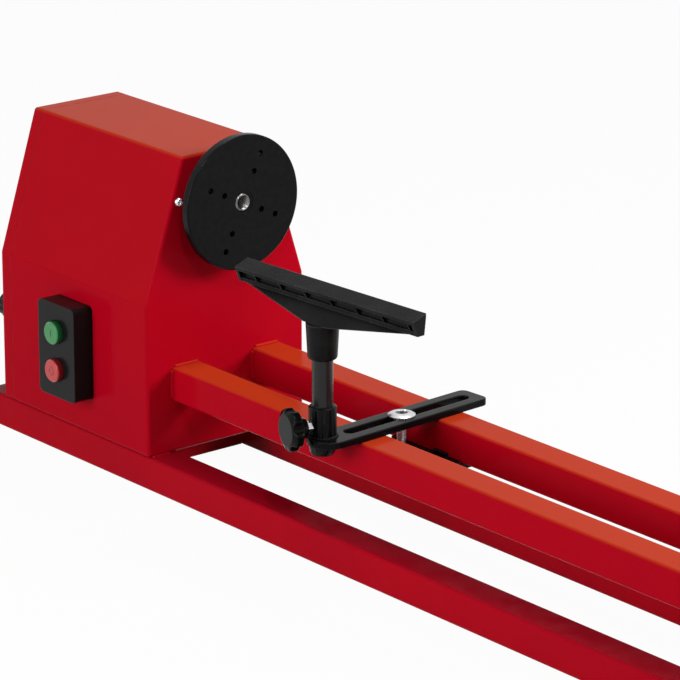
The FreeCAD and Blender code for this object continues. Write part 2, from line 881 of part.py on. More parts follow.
def pan_screw(name, x, y, z, reach, turn):
    """A pan-head screw with a cross recess, its head towards +X at no turn."""
    body = turned(name, x, y, z, [
        (-reach, zero), (s.face_screw_head_height, zero),
        (s.face_screw_head_height, s.face_screw_head_radius / 2, s.face_screw_head_height),
        (zero, s.face_screw_head_radius), (zero, s.face_screw_radius), (-reach, s.face_screw_radius),
    ], turn)
    recess = new_sketch(body, "YZ_Plane", s.face_screw_head_height)
    long_half = s.face_screw_head_radius / 2
    slim_half = s.face_screw_head_radius / 8
    outline(recess, [
        (-long_half, -slim_half), (-slim_half, -slim_half), (-slim_half, -long_half),
        (slim_half, -long_half), (slim_half, -slim_half), (long_half, -slim_half),
        (long_half, slim_half), (slim_half, slim_half), (slim_half, long_half),
        (-slim_half, long_half), (-slim_half, slim_half), (-long_half, slim_half),
    ])
    pocket(body, recess, s.face_screw_recess)
    return body


housing_screws = []
for number, side in enumerate((-1, 1)):
    screw_y = face_screw_offset * side
    housing_screws.append(pan_screw(f"face_screw_{number}", face, screw_y, face_screw_height,
                                    s.face_screw_reach, Rotation()))
    housing_screws.append(pan_screw(f"wall_screw_{number}", wall_left, screw_y, face_screw_height,
                                    s.face_screw_reach, about_face))
keep("bearing_screws", group("bearing_screws", *housing_screws))


# Spindle, faceplate

nose_end = s.plate_front
pulley_end = s.pulley_step_pitch * 4 + s.pulley_end_land * 2
spindle = turned("spindle", face, zero, spindle_height, [
    (-s.spindle_left_end, zero), (nose_end - s.centre_hole_radius, zero),
    (nose_end, s.centre_hole_radius), (nose_end, s.spindle_nose_radius - s.spindle_nose_chamfer),
    (nose_end - s.spindle_nose_chamfer, s.spindle_nose_radius),
    (s.spindle_collar_start + s.spindle_collar_length, s.spindle_nose_radius),
    (s.spindle_collar_start + s.spindle_collar_length, s.spindle_collar_radius),
    (s.spindle_collar_start, s.spindle_collar_radius), (s.spindle_collar_start, s.spindle_radius),
    (-s.pulley_start, s.spindle_radius), (-s.pulley_start, s.spindle_pulley_seat_radius),
    (-s.spindle_left_end, s.spindle_pulley_seat_radius),
])
keep("spindle", spindle)

plate_back = s.plate_front - s.plate_thickness
hub_back = s.spindle_collar_start + s.spindle_collar_length
face_plate = turned("face_plate", face, zero, spindle_height, [
    (hub_back, s.spindle_nose_radius), (s.plate_front - s.plate_boss_relief, s.spindle_nose_radius),
    (s.plate_front - s.plate_boss_relief, s.plate_boss_radius), (s.plate_front, s.plate_boss_radius),
    (s.plate_front, s.plate_radius - s.plate_bevel), (s.plate_front - s.plate_bevel, s.plate_radius),
    (plate_back + s.plate_bevel, s.plate_radius), (plate_back, s.plate_radius - s.plate_bevel),
    (plate_back, s.plate_hub_radius), (hub_back, s.plate_hub_radius),
])
plate_holes = new_sketch(face_plate, "YZ_Plane")
arm_cosine, arm_sine = cosine(s.plate_turn), sine(s.plate_turn)
for distance in (s.plate_hole_a, s.plate_hole_b):
    for side in (-1, 1):
        circle(plate_holes, arm_cosine * distance * side, arm_sine * distance * side, s.plate_hole_radius)
for distance in (s.plate_hole_c, s.plate_hole_d):
    for side in (-1, 1):
        circle(plate_holes, arm_sine * distance * side, -arm_cosine * distance * side, s.plate_hole_radius)
pocket(face_plate, plate_holes, backwards=True)
keep("face_plate", face_plate)


# Step pulleys, belt and motor

motor_steps = [s.pulley_step_one, s.pulley_step_two, s.pulley_step_three, s.pulley_step_four]
spindle_steps = [s.pulley_sum - step for step in motor_steps]
belt_step = 1


def step_pulley(name, height, bore, pitch_radii):
    """Four V grooves in a row, from the right-hand groove to the left one."""
    profile = []
    along = -s.pulley_start
    profile.append((along, bore))
    for number, pitch_radius in enumerate(pitch_radii):
        rim = pitch_radius + s.pulley_rim_rise
        middle = along - s.pulley_end_land - s.pulley_step_pitch * number - s.pulley_step_pitch / 2
        side_right = along - s.pulley_step_pitch * number - (s.pulley_end_land if number else zero)
        side_left = along - s.pulley_step_pitch * (number + 1) - s.pulley_end_land
        last = number == len(pitch_radii) - 1
        profile.append((side_right, rim))
        profile.append((middle + s.groove_top_half, rim))
        profile.append((middle + s.groove_bottom_half, rim - s.groove_depth))
        profile.append((middle - s.groove_bottom_half, rim - s.groove_depth))
        profile.append((middle - s.groove_top_half, rim))
        profile.append((side_left - (s.pulley_end_land if last else zero), rim))
    profile.append((along - pulley_end, bore))
    return turned(name, face, zero, height, profile)


keep("spindle_pulley", step_pulley("spindle_pulley", spindle_height, s.spindle_pulley_seat_radius,
                                   spindle_steps))
keep("motor_pulley", step_pulley("motor_pulley", motor_height, s.motor_shaft_radius, motor_steps))

belt_middle = face - s.pulley_start - s.pulley_end_land - s.pulley_step_pitch * (belt_step + 1 / 2)


def belt_loop(sketch, rise):
    """Two arcs round the pulleys and the two straight runs that touch them both."""
    low = motor_steps[belt_step] + rise
    high = spindle_steps[belt_step] + rise
    lean = (high - low) / s.motor_centre_distance
    upright = root(1 - lean * lean)
    top = s.motor_centre_distance
    return outline(sketch, [
        (upright * low, -lean * low), (upright * high, top - lean * high, high, "long"),
        (-upright * high, top - lean * high), (-upright * low, -lean * low, low),
    ])


belt = new_body("drive_belt", belt_middle - s.belt_half_width, zero, motor_height)
pad(belt, belt_loop(new_sketch(belt, "YZ_Plane"), s.belt_outer_rise), s.belt_half_width * 2)
belt_inner = s.belt_outer_rise - s.belt_thickness
belt_hollow = pocket(belt, belt_loop(new_sketch(belt, "YZ_Plane"), belt_inner), backwards=True)
side_limit = (spindle_steps[belt_step] + belt_inner + s.belt_thickness / 2).value
low_limit = (motor_steps[belt_step] + belt_inner + s.belt_thickness / 2).value
soften(belt, belt_hollow, s.belt_flank, lambda box: flat(box.XLength) and max(box.YMax, -box.YMin) < side_limit
       and box.ZMin > -low_limit, "PartDesign::Chamfer")
keep("drive_belt", belt)

motor_plate_right = wall_right + s.motor_slide_gap + s.motor_plate_thickness
motor_plate = new_body("motor_plate", motor_plate_right, zero, motor_height)
plate_half = s.motor_plate_half
plate_sketch = rectangle(new_sketch(motor_plate, "YZ_Plane"), (-plate_half, plate_half),
                         (-plate_half, plate_half))
circle(plate_sketch, zero, zero, s.motor_shaft_radius * 2)
for side in (-1, 1):
    circle(plate_sketch, s.motor_bolt_offset * side, zero, s.motor_bolt_radius)
pad(motor_plate, plate_sketch, s.motor_plate_thickness, backwards=True)
keep("motor_plate", motor_plate)

shield_right = motor_plate_right + s.motor_shield_length
stator_right = shield_right + s.motor_length
motor_right = stator_right + s.motor_shield_length
step_in = s.motor_shield_radius / 4
end_shields = []
for number, (start, turn) in enumerate(((motor_plate_right, Rotation()),
                                        (motor_right, Rotation(Vector(0, 0, 1), 180)))):
    end_shields.append(turned(f"end_shield_{number}", start, zero, motor_height, [
        (zero, s.motor_shaft_radius + s.running_fit), (zero, s.motor_shield_radius - step_in),
        (step_in / 2, s.motor_shield_radius), (s.motor_shield_length, s.motor_shield_radius),
        (s.motor_shield_length, s.motor_shaft_radius + s.running_fit),
    ], turn))
keep("motor_end_shields", group("motor_end_shields", *end_shields))
keep("motor_body", turned("motor_body", shield_right, zero, motor_height, [
    (zero, s.motor_shaft_radius + s.running_fit), (zero, s.motor_radius), (s.motor_length, s.motor_radius),
    (s.motor_length, s.motor_shaft_radius + s.running_fit),
]))
shaft_left = face - s.pulley_start - pulley_end
keep("motor_shaft", rod("motor_shaft", "x", (shaft_left, zero, motor_height), s.motor_shaft_radius,
                        motor_right - shaft_left))

motor_bolts = []
bolt_reach = s.motor_plate_thickness + s.motor_slide_gap * 2 + s.inner_wall_sheet
for number, side in enumerate((-1, 1)):
    bolt_y = s.motor_bolt_offset * side
    head_left = wall_left - s.motor_slide_gap - s.motor_bolt_head_height
    head = rod(f"motor_bolt_head_{number}", "x", (head_left, bolt_y, motor_height),
               s.motor_bolt_head_radius, s.motor_bolt_head_height)
    shank = rod(f"motor_bolt_shank_{number}", "x", (wall_left - s.motor_slide_gap, bolt_y, motor_height),
                s.motor_bolt_radius, bolt_reach)
    motor_bolts.append(fuse(f"motor_bolt_{number}", head, shank))
keep("motor_bolts", group("motor_bolts", *motor_bolts))


# Belt door on the left end, its hinge and its knob

door_right = casing_left - s.door_gap
door_left = door_right - s.door_depth
door_outer = house("door_outer", door_left, door_right, zero, s.casing_bend, "left")
door_inner = house("door_inner", door_left + s.door_sheet, door_right + s.overrun, s.door_sheet,
                   s.casing_inner_bend)
knob_y = -casing_half + s.door_knob_inset
knob_hole = rod("door_knob_hole", "x", (door_left - s.overrun, knob_y, s.door_knob_height),
                s.door_stud_radius + s.running_fit, s.door_sheet + s.overrun * 2)
keep("belt_door", cut("belt_door", door_outer, door_inner, knob_hole))

hinge_x = door_right
hinge_y = casing_half + s.hinge_offset
knuckle = s.hinge_length / 3


def hinge_knuckle(name, level, length, bore):
    barrel = rod(f"{name}_barrel", "z", (hinge_x, hinge_y, level), s.hinge_barrel_radius, length)
    hole = rod(f"{name}_hole", "z", (hinge_x, hinge_y, level - s.overrun), bore, length + s.overrun * 2)
    return barrel, hole


def hinge_leaf(name, x, level, length):
    return block(name, x, (casing_half, casing_half + s.hinge_leaf_sheet), (level, level + length))


leaves = {"casing": [], "door": []}
web_y = (casing_half, hinge_y)
for number, (owner, share) in enumerate((("casing", 0), ("door", 1), ("casing", 2))):
    level = s.hinge_low + knuckle * share
    length = knuckle - s.hinge_knuckle_gap
    bore = s.hinge_pin_radius if owner == "casing" else s.hinge_pin_radius + s.running_fit
    barrel, hole = hinge_knuckle(f"knuckle_{number}", level, length, bore)
    if owner == "casing":
        leaf_x = (casing_left, casing_left + s.hinge_leaf_length)
        web_x = (casing_left, casing_left + s.hinge_leaf_sheet)
    else:
        leaf_x = (door_left + s.casing_bend, door_right - s.door_gap)
        web_x = (door_right - s.door_gap - s.hinge_leaf_sheet, door_right - s.door_gap)
    leaf = hinge_leaf(f"leaf_{number}", leaf_x, level, length)
    web = block(f"leaf_web_{number}", web_x, web_y, (level, level + length))
    leaves[owner].append(cut(f"knuckle_cut_{number}", fuse(f"knuckle_all_{number}", barrel, leaf, web), hole))
keep("hinge_casing_leaf", group("hinge_casing_leaf", *leaves["casing"]))
keep("hinge_door_leaf", leaves["door"][0])
keep("hinge_pin", rod("hinge_pin", "z", (hinge_x, hinge_y, s.hinge_low - s.overrun), s.hinge_pin_radius,
                      s.hinge_length + s.overrun * 2))

tab_left = casing_left + s.door_gap
stud_end = tab_left - s.door_gap - door_left + s.hinge_knuckle_gap
door_knob = turned("door_knob_turning", door_left - s.hinge_knuckle_gap, knob_y, s.door_knob_height, [
    (-s.door_knob_length, zero), (-s.door_knob_length, s.door_knob_radius * 3 / 4),
    (-s.door_knob_length * 3 / 4, s.door_knob_radius), (-s.door_knob_length / 4, s.door_knob_radius),
    (zero, s.door_knob_radius * 3 / 4), (zero, s.door_stud_radius),
    (stud_end, s.door_stud_radius), (stud_end, zero),
])
flute = new_sketch(door_knob, "YZ_Plane", -s.door_knob_length)
circle(flute, zero, s.door_knob_radius * 9 / 8, s.door_knob_radius / 4)
flute_cut = pocket(door_knob, flute, s.door_knob_length, backwards=True)
flutes = door_knob.newObject("PartDesign::PolarPattern", "door_knob_flutes")
flutes.Originals = [flute_cut]
flutes.Axis = (flute, ["N_Axis"])
flutes.Angle = 360
flutes.Occurrences = 8
door_knob.Tip = flutes
keep("door_knob", door_knob)

tab_half = s.door_tab_size / 2
tab = block("door_tab_blank", (tab_left, tab_left + s.door_tab_thickness),
            (-casing_half + s.casing_sheet, knob_y + tab_half),
            (s.door_knob_height - tab_half, s.door_knob_height + tab_half))
tab_hole = rod("door_tab_hole", "x", (tab_left - s.overrun, knob_y, s.door_knob_height),
               s.door_stud_radius + s.running_fit, s.door_tab_thickness + s.overrun * 2)
keep("door_tab", cut("door_tab", tab, tab_hole))


# Switch and cord inlet

switch_front = -casing_half - s.switch_depth
switch = new_body("switch_turning", switch_middle, -casing_half, switch_centre)
half_width = s.switch_width / 2
half_height = s.switch_height / 2
switch_pad = pad(switch, rectangle(new_sketch(switch, "XZ_Plane"), (-half_width, half_width),
                                   (-half_height, half_height)), s.switch_depth)
switch_round = soften(switch, switch_pad, s.switch_round,
                      lambda box: flat(box.XLength) and flat(box.ZLength))
hollow_width = half_width - s.switch_wall
hollow_height = half_height - s.switch_wall
doc.recompute()
pocket(switch, rectangle(new_sketch(switch, "XZ_Plane"), (-hollow_width, hollow_width),
                         (-hollow_height, hollow_height)), s.switch_depth - s.switch_wall, backwards=True)
openings = new_sketch(switch, "XZ_Plane")
for side in (-1, 1):
    circle(openings, zero, s.button_spacing * side / 2, s.button_radius + s.button_gap)
pocket(switch, openings, backwards=True)
keep("switch_box", switch)

for name, side in (("start_button", 1), ("stop_button", -1)):
    middle = switch_centre + s.button_spacing * side / 2
    button = turned(name, switch_middle, switch_front, middle, [
        (-s.button_proud, zero), (-s.button_proud, s.button_radius - s.button_gap * 2),
        (-s.button_proud + s.button_gap * 2, s.button_radius), (s.switch_wall + s.button_gap, s.button_radius),
        (s.switch_wall + s.button_gap, s.button_radius + s.button_gap * 4),
        (s.switch_wall + s.button_gap + s.button_collar, s.button_radius + s.button_gap * 4),
        (s.switch_wall + s.button_gap + s.button_collar, zero),
    ], Rotation(Vector(0, 0, 1), 90))
    keep(name, button)

keep("cord_gland", turned("cord_gland", gland_x, casing_half, s.gland_height, [
    (-s.casing_sheet - s.gland_nut_length, s.gland_bore_radius),
    (-s.casing_sheet - s.gland_nut_length, s.gland_nut_radius), (-s.casing_sheet, s.gland_nut_radius),
    (-s.casing_sheet, s.gland_radius), (zero, s.gland_radius), (zero, s.gland_nut_radius),
    (s.gland_nut_length, s.gland_nut_radius), (s.gland_length, s.gland_radius * 3 / 4),
    (s.gland_length, s.gland_bore_radius),
], Rotation(Vector(0, 0, 1), 90)))


# Tool rest carriage

def clamp_plate(name, x, half_length, lug):
    """Pressed plate under the bed with folded guides between the tubes."""
    body = new_body(name, x, zero, bed_bottom - s.bed_slide_gap)
    half = s.clamp_plate_half_width
    pad(body, rectangle(new_sketch(body, "XY_Plane"), (-half_length, half_length), (-half, half)),
        s.clamp_plate_thickness, backwards=True)
    guide_outer = bed_half_gap - s.clamp_flange_gap
    guide_inner = guide_outer - s.clamp_flange_wall
    guides = new_sketch(body, "XY_Plane")
    for low, high in ((-guide_outer, -guide_inner), (guide_inner, guide_outer)):
        rectangle(guides, (-half_length, half_length), (low, high))
    pad(body, guides, s.clamp_flange_height)
    if lug:
        lug_sketch = new_sketch(body, "XY_Plane")
        rectangle(lug_sketch, (s.clamp_lug_start, s.clamp_lug_start + s.clamp_lug_length),
                  (guide_inner, guide_outer))
        pad(body, lug_sketch, s.clamp_flange_height + s.clamp_lug_rise)
    pocket(body, circle(new_sketch(body, "XY_Plane"), zero, zero, s.bolt_radius + s.running_fit))
    return body


carriage_x = face + s.carriage_distance
post_x = carriage_x + sine(s.arm_turn) * s.post_reach - cosine(s.arm_turn) * s.post_side_offset
post_y = -cosine(s.arm_turn) * s.post_reach - sine(s.arm_turn) * s.post_side_offset
keep("rest_clamp_plate", clamp_plate("rest_clamp_plate", carriage_x, s.clamp_plate_half_length, True))

arm_bottom = s.bed_top_height + s.bed_slide_gap
arm_top = arm_bottom + s.arm_thickness
head_bottom = arm_top + s.bed_slide_gap
dome_radius = (s.bolt_head_height * s.bolt_head_height + s.bolt_head_radius * s.bolt_head_radius) / (
    s.bolt_head_height * 2)
carriage_bolt = turned("carriage_bolt_turning", carriage_x, zero, head_bottom, [
    (-s.bolt_length, zero), (s.bolt_head_height, zero, dome_radius),
    (zero, s.bolt_head_radius), (zero, s.bolt_radius), (-s.bolt_length, s.bolt_radius),
], Rotation(Vector(0, 1, 0), -90))
neck_half = s.bolt_neck_half
neck = new_body("bolt_neck", carriage_x, zero, arm_bottom, Rotation(Vector(0, 0, 1), s.arm_turn.value))
pad(neck, rectangle(new_sketch(neck, "XY_Plane"), (-neck_half, neck_half), (-neck_half, neck_half)),
    head_bottom - arm_bottom)
keep("carriage_bolt", fuse("carriage_bolt", carriage_bolt, neck))


def clamp_lever(name, x, height, towards):
    """A lever with a round hub that screws up the bolt under the bed."""
    hub = rod(f"{name}_hub", "-z", (x, zero, height), s.clamp_hub_radius, s.clamp_hub_length)
    bore = rod(f"{name}_bore", "-z", (x, zero, height + s.overrun), s.bolt_radius + s.running_fit,
               s.clamp_hub_length + s.overrun * 2)
    turn = Rotation(Vector(0, 1, 0), 90 * towards + s.lever_drop_angle.value * towards)
    middle = height - s.clamp_hub_length / 2
    bar = doc.addObject("Part::Cylinder", f"{name}_bar")
    bind(bar, "Radius", s.lever_radius)
    bind(bar, "Height", s.lever_length)
    move(bar, x, zero, middle, turn)
    grip = doc.addObject("Part::Cylinder", f"{name}_grip")
    bind(grip, "Radius", s.lever_grip_radius)
    bind(grip, "Height", s.lever_grip_length)
    reach = s.lever_length
    move(grip, x + cosine(s.lever_drop_angle) * reach * towards, zero,
         middle - sine(s.lever_drop_angle) * reach, turn)
    return cut(name, fuse(f"{name}_solid", hub, bar, grip), bore)


lever_top = bed_bottom - s.bed_slide_gap - s.clamp_plate_thickness - s.clamp_hub_gap
keep("rest_clamp_lever", clamp_lever("rest_clamp_lever", carriage_x, lever_top, 1))

arm = new_body("rest_arm", carriage_x, zero, arm_bottom, Rotation(Vector(0, 0, 1), s.arm_turn.value))
arm_half = s.arm_width / 2
nose_y = s.arm_nose_overhang / 2 - s.post_reach
arm_sketch = outline(new_sketch(arm, "XY_Plane"), [
    (arm_half, nose_y), (arm_half, s.arm_rear_reach - s.arm_corner, s.arm_corner),
    (arm_half - s.arm_corner, s.arm_rear_reach), (-arm_half + s.arm_corner, s.arm_rear_reach, s.arm_corner),
    (-arm_half, s.arm_rear_reach - s.arm_corner), (-arm_half, -s.slot_front),
    (-arm_half - s.arm_nose_overhang, nose_y, arm_half + s.arm_nose_overhang / 2),
])
slot_half = s.slot_half_width
obround(arm_sketch, zero, (-s.slot_front + slot_half, s.slot_rear - slot_half), slot_half)
circle(arm_sketch, -s.post_side_offset, -s.post_reach, s.sleeve_radius)
pad(arm, arm_sketch, s.arm_thickness)
keep("rest_arm", arm)

sleeve_bottom = s.bed_top_height - s.sleeve_drop
sleeve_length = s.sleeve_drop + s.sleeve_rise
sleeve_bevel = (s.sleeve_radius - s.post_radius) / 3
sleeve = turned("post_sleeve_turning", post_x, post_y, sleeve_bottom, [
    (zero, s.post_radius + s.running_fit), (sleeve_length, s.post_radius + s.running_fit),
    (sleeve_length, s.sleeve_radius - sleeve_bevel), (sleeve_length - sleeve_bevel, s.sleeve_radius),
    (sleeve_bevel * 2, s.sleeve_radius), (zero, s.sleeve_radius - sleeve_bevel * 2),
], Rotation(Vector(0, 1, 0), -90))
knob_level = s.bed_top_height + s.knob_height
knob_axis = Rotation(Vector(0, 0, 1), -s.knob_turn.value) * Rotation(Vector(1, 0, 0), 90)
knob_x = Rotation(Vector(0, 0, 1), -s.knob_turn.value - 90)


def on_knob_axis(distance):
    return (post_x - sine(s.knob_turn) * distance, post_y - cosine(s.knob_turn) * distance)


sleeve_hole = doc.addObject("Part::Cylinder", "sleeve_hole")
bind(sleeve_hole, "Radius", s.knob_screw_radius + s.running_fit)
bind(sleeve_hole, "Height", s.sleeve_radius + s.overrun)
move(sleeve_hole, post_x, post_y, knob_level, knob_axis)
keep("post_sleeve", cut("post_sleeve", sleeve, sleeve_hole))

nut_start = root(s.sleeve_radius * s.sleeve_radius - s.knob_nut_radius * s.knob_nut_radius)
nut_end = s.sleeve_radius + s.knob_nut_length
nut_blank = new_body("knob_nut_blank", *on_knob_axis(zero), knob_level, knob_x)
hexagon = new_sketch(nut_blank, "YZ_Plane", nut_start)


def hexagon_corners(radius):
    """The corners of a nut or bolt head about its own middle."""
    corners = []
    for number in range(int(s.hexagon_sides.value)):
        angle = as_size(FULL_TURN) * number / s.hexagon_sides
        corners.append((cosine(angle) * radius, sine(angle) * radius))
    return corners


outline(hexagon, hexagon_corners(s.knob_nut_radius))
pad(nut_blank, hexagon, nut_end - nut_start)
nut_bore = doc.addObject("Part::Cylinder", "knob_nut_bore")
bind(nut_bore, "Radius", s.knob_screw_radius + s.running_fit)
bind(nut_bore, "Height", nut_end + s.overrun)
move(nut_bore, *on_knob_axis(zero), knob_level, knob_axis)
nut_seat = rod("knob_nut_seat", "z", (post_x, post_y, knob_level - s.knob_nut_radius * 2),
               s.sleeve_radius, s.knob_nut_radius * 4)
keep("knob_nut", cut("knob_nut", nut_blank, nut_bore, nut_seat))

screw_tip = s.post_radius + s.knob_tip_gap
knob_end = s.knob_start + s.knob_length
knob_screw = doc.addObject("Part::Cylinder", "knob_screw")
bind(knob_screw, "Radius", s.knob_screw_radius)
bind(knob_screw, "Height", s.knob_start + s.knob_length / 2 - screw_tip)
move(knob_screw, *on_knob_axis(screw_tip), knob_level, knob_axis)
keep("knob_screw", knob_screw)

knob = new_body("rest_knob", *on_knob_axis(zero), knob_level, knob_x)
bevel = s.knob_length / 8
revolve(knob, outline(new_sketch(knob, "XY_Plane"), [
    (s.knob_start, s.knob_screw_radius), (s.knob_start + s.knob_length / 2, s.knob_screw_radius),
    (s.knob_start + s.knob_length / 2, zero), (knob_end, zero), (knob_end, s.knob_radius - bevel * 2),
    (knob_end - bevel, s.knob_radius), (knob_end - s.knob_length / 2, s.knob_radius),
    (s.knob_start + s.knob_length / 4, s.knob_back_radius), (s.knob_start, s.knob_back_radius - bevel),
]))
lobe = new_sketch(knob, "YZ_Plane", s.knob_start)
circle(lobe, zero, s.knob_radius + s.knob_lobe_radius - s.knob_lobe_depth, s.knob_lobe_radius)
lobe_cut = pocket(knob, lobe, s.knob_length + s.overrun, backwards=True)
lobes = knob.newObject("PartDesign::PolarPattern", "knob_lobes")
lobes.Originals = [lobe_cut]
lobes.Axis = (lobe, ["N_Axis"])
lobes.Angle = 360
lobes.Occurrences = 5
knob.Tip = lobes
keep("rest_knob", knob)

post_bottom = s.bed_top_height + s.post_bottom_rise
keep("rest_post", rod("rest_post", "z", (post_x, post_y, post_bottom), s.post_radius,
                      s.boss_bottom_height + s.boss_bore_depth - s.post_bottom_rise))


# Tool rest casting: ribbed channel, tapering web and boss

rest = new_body("tool_rest", post_x, post_y, s.bed_top_height, Rotation(Vector(0, 0, 1), s.rest_turn.value))
half_rest = s.rest_length / 2
top = s.rest_top_height
foot = top - s.rest_depth
section = new_sketch(rest, "YZ_Plane", -half_rest)
outline(section, [
    (s.rest_front, top - s.rest_top_drop), (s.rest_front + s.rest_lip / 4, top - s.rest_top_drop - s.rest_lip),
    (s.rest_channel_back, top - s.rest_top_drop - s.rest_lip), (s.rest_channel_back, foot + s.rest_foot),
    (s.rest_foot_front, foot + s.rest_foot), (s.rest_foot_front, foot), (s.rest_foot_rear, foot),
    (s.rest_foot_rear, foot + s.rest_foot), (s.rest_waist_rear, foot + s.rest_foot * 2),
    (s.rest_waist_rear, top - s.rest_lip * 2), (s.rest_rear, top - s.rest_lip), (s.rest_rear, top),
])
pad(rest, section, s.rest_length)
rib = new_sketch(rest, "YZ_Plane", -half_rest + s.rest_first_rib)
outline(rib, [
    (s.rest_front + s.rest_lip / 2, top - s.rest_top_drop - s.rest_lip),
    (s.rest_foot_front, foot + s.rest_foot), (s.rest_channel_back, foot + s.rest_foot),
    (s.rest_channel_back, top - s.rest_top_drop - s.rest_lip),
])
rib_pad = pad(rest, rib, s.rest_rib)
ribs = rest.newObject("PartDesign::LinearPattern", "rest_ribs")
ribs.Originals = [rib_pad]
ribs.Direction = (rib, ["N_Axis"])
ribs.Length = s.rest_rib_pitch.value * (s.rest_rib_count.value - 1)
ribs.Occurrences = int(s.rest_rib_count.value)
rest.Tip = ribs
doc.recompute()

for wall_start in (-half_rest, half_rest - s.rest_end_wall):
    end_wall = new_sketch(rest, "YZ_Plane", wall_start)
    outline(end_wall, [
        (s.rest_front, top - s.rest_top_drop),
        (s.rest_front + s.rest_lip / 4, top - s.rest_top_drop - s.rest_lip), (s.rest_foot_front, foot),
        (s.rest_foot_rear, foot), (s.rest_rear, top - s.rest_lip), (s.rest_rear, top),
    ])
    pad(rest, end_wall, s.rest_end_wall)
doc.recompute()

web_top = new_sketch(rest, "XY_Plane", foot)
web_half = half_rest - s.rest_first_rib / 2
rectangle(web_top, (-web_half, web_half), (s.rest_foot_front, s.rest_foot_rear))
web_bottom = new_sketch(rest, "XY_Plane", s.boss_top_height)
boss_half = s.boss_top_radius
rectangle(web_bottom, (-boss_half, boss_half), (-s.boss_top_radius * 2 / 3, s.boss_top_radius * 2 / 3))
web = rest.newObject("PartDesign::AdditiveLoft", "rest_web")
web.Profile = web_top
web.Sections = [web_bottom]
web.Ruled = True
web.Closed = False
doc.recompute()

boss_sketch = new_sketch(rest, "XZ_Plane")
outline(boss_sketch, [
    (zero, s.boss_bottom_height), (s.boss_bottom_radius - s.boss_round, s.boss_bottom_height, s.boss_round),
    (s.boss_bottom_radius, s.boss_bottom_height + s.boss_round),
    (s.boss_top_radius, s.boss_top_height), (zero, s.boss_top_height),
])
revolve(rest, boss_sketch, axis="V_Axis")
bore_sketch = circle(new_sketch(rest, "XY_Plane", s.boss_bottom_height), zero, zero,
                     s.post_radius + s.running_fit)
pocket(rest, bore_sketch, s.boss_bore_depth, backwards=True)
keep("tool_rest", rest)


# Tailstock

tail_x = stand_left - s.tail_end_gap
tail_bottom = s.bed_top_height + s.bed_slide_gap
tail_body = new_body("tailstock_turning", tail_x, zero, tail_bottom)
axis_rise = spindle_height - tail_bottom
half_tail = s.tail_length / 2
tail_base = pad(tail_body, rectangle(new_sketch(tail_body, "YZ_Plane", -half_tail),
                                     (-bed_half_width, bed_half_width), (zero, s.tail_base_height)),
                s.tail_length)
soften(tail_body, tail_base, s.barrel_round, lambda box: near(box.ZMin, s.tail_base_height))
doc.recompute()
tongue_half = bed_half_gap - s.tail_tongue_gap
pad(tail_body, rectangle(new_sketch(tail_body, "YZ_Plane", -half_tail), (-tongue_half, tongue_half),
                         (-s.tail_tongue_depth, zero)), s.tail_length)
neck = s.tail_neck_half_width
pad(tail_body, outline(new_sketch(tail_body, "YZ_Plane", -s.tail_column_length / 2), [
    (-bed_half_width + s.barrel_round * 2, s.tail_base_height),
    (bed_half_width - s.barrel_round * 2, s.tail_base_height), (neck, s.tail_base_height + neck),
    (neck, axis_rise), (-neck, axis_rise), (-neck, s.tail_base_height + neck),
]), s.tail_column_length)
barrel = pad(tail_body, circle(new_sketch(tail_body, "YZ_Plane", -s.barrel_length / 2), zero, axis_rise,
                               s.barrel_radius), s.barrel_length)
doc.recompute()
pocket(tail_body, circle(new_sketch(tail_body, "YZ_Plane", s.barrel_length), zero, axis_rise,
                         s.quill_radius + s.running_fit))
lock_boss = new_sketch(tail_body, "XY_Plane", axis_rise)
lock_local = -s.barrel_length / 2 + s.lock_setback
circle(lock_boss, lock_local, zero, s.lock_boss_radius)
pad(tail_body, lock_boss, s.barrel_radius + s.lock_boss_height)
pocket(tail_body, circle(new_sketch(tail_body, "YZ_Plane", s.barrel_length), zero, axis_rise,
                         s.quill_radius + s.running_fit))
lock_top = axis_rise + s.barrel_radius + s.lock_boss_height
pocket(tail_body, circle(new_sketch(tail_body, "XY_Plane", lock_top), lock_local, zero,
                         s.lock_screw_radius + s.running_fit), s.barrel_radius + s.lock_boss_height)
pocket(tail_body, circle(new_sketch(tail_body, "XY_Plane", s.tail_base_height),
                         half_tail - s.tail_bolt_head_radius - s.barrel_round, zero,
                         s.bolt_radius + s.running_fit))
keep("tailstock_body", tail_body)

barrel_left = tail_x - s.barrel_length / 2
barrel_right = tail_x + s.barrel_length / 2
quill_left = barrel_left - s.quill_out
quill_length = barrel_right - s.quill_end_gap - quill_left
keep("quill", turned("quill", quill_left, zero, spindle_height, [
    (zero, s.quill_seat_radius), (s.quill_seat_depth, s.quill_seat_radius),
    (s.quill_seat_depth, s.quill_screw_radius + s.running_fit),
    (quill_length, s.quill_screw_radius + s.running_fit), (quill_length, s.quill_radius),
    (s.barrel_round / 2, s.quill_radius), (zero, s.quill_radius - s.barrel_round / 2),
]))

cap_right = barrel_right + s.tail_cap_thickness
keep("tailstock_end_cap", turned("tailstock_end_cap", barrel_right, zero, spindle_height, [
    (zero, s.quill_screw_radius + s.running_fit), (zero, s.tail_cap_radius),
    (s.tail_cap_thickness - s.barrel_round / 2, s.tail_cap_radius),
    (s.tail_cap_thickness, s.tail_cap_radius - s.barrel_round / 2),
    (s.tail_cap_thickness, s.quill_screw_radius + s.running_fit),
]))

screw_left = quill_left + s.quill_seat_depth + s.quill_travel / 4
wheel_left = cap_right + s.wheel_gap
wheel_right = wheel_left + s.wheel_hub_length
keep("quill_screw", turned("quill_screw", screw_left, zero, spindle_height, [
    (zero, zero), (zero, s.quill_screw_radius), (wheel_right - screw_left, s.quill_screw_radius),
    (wheel_right - screw_left, zero),
]))

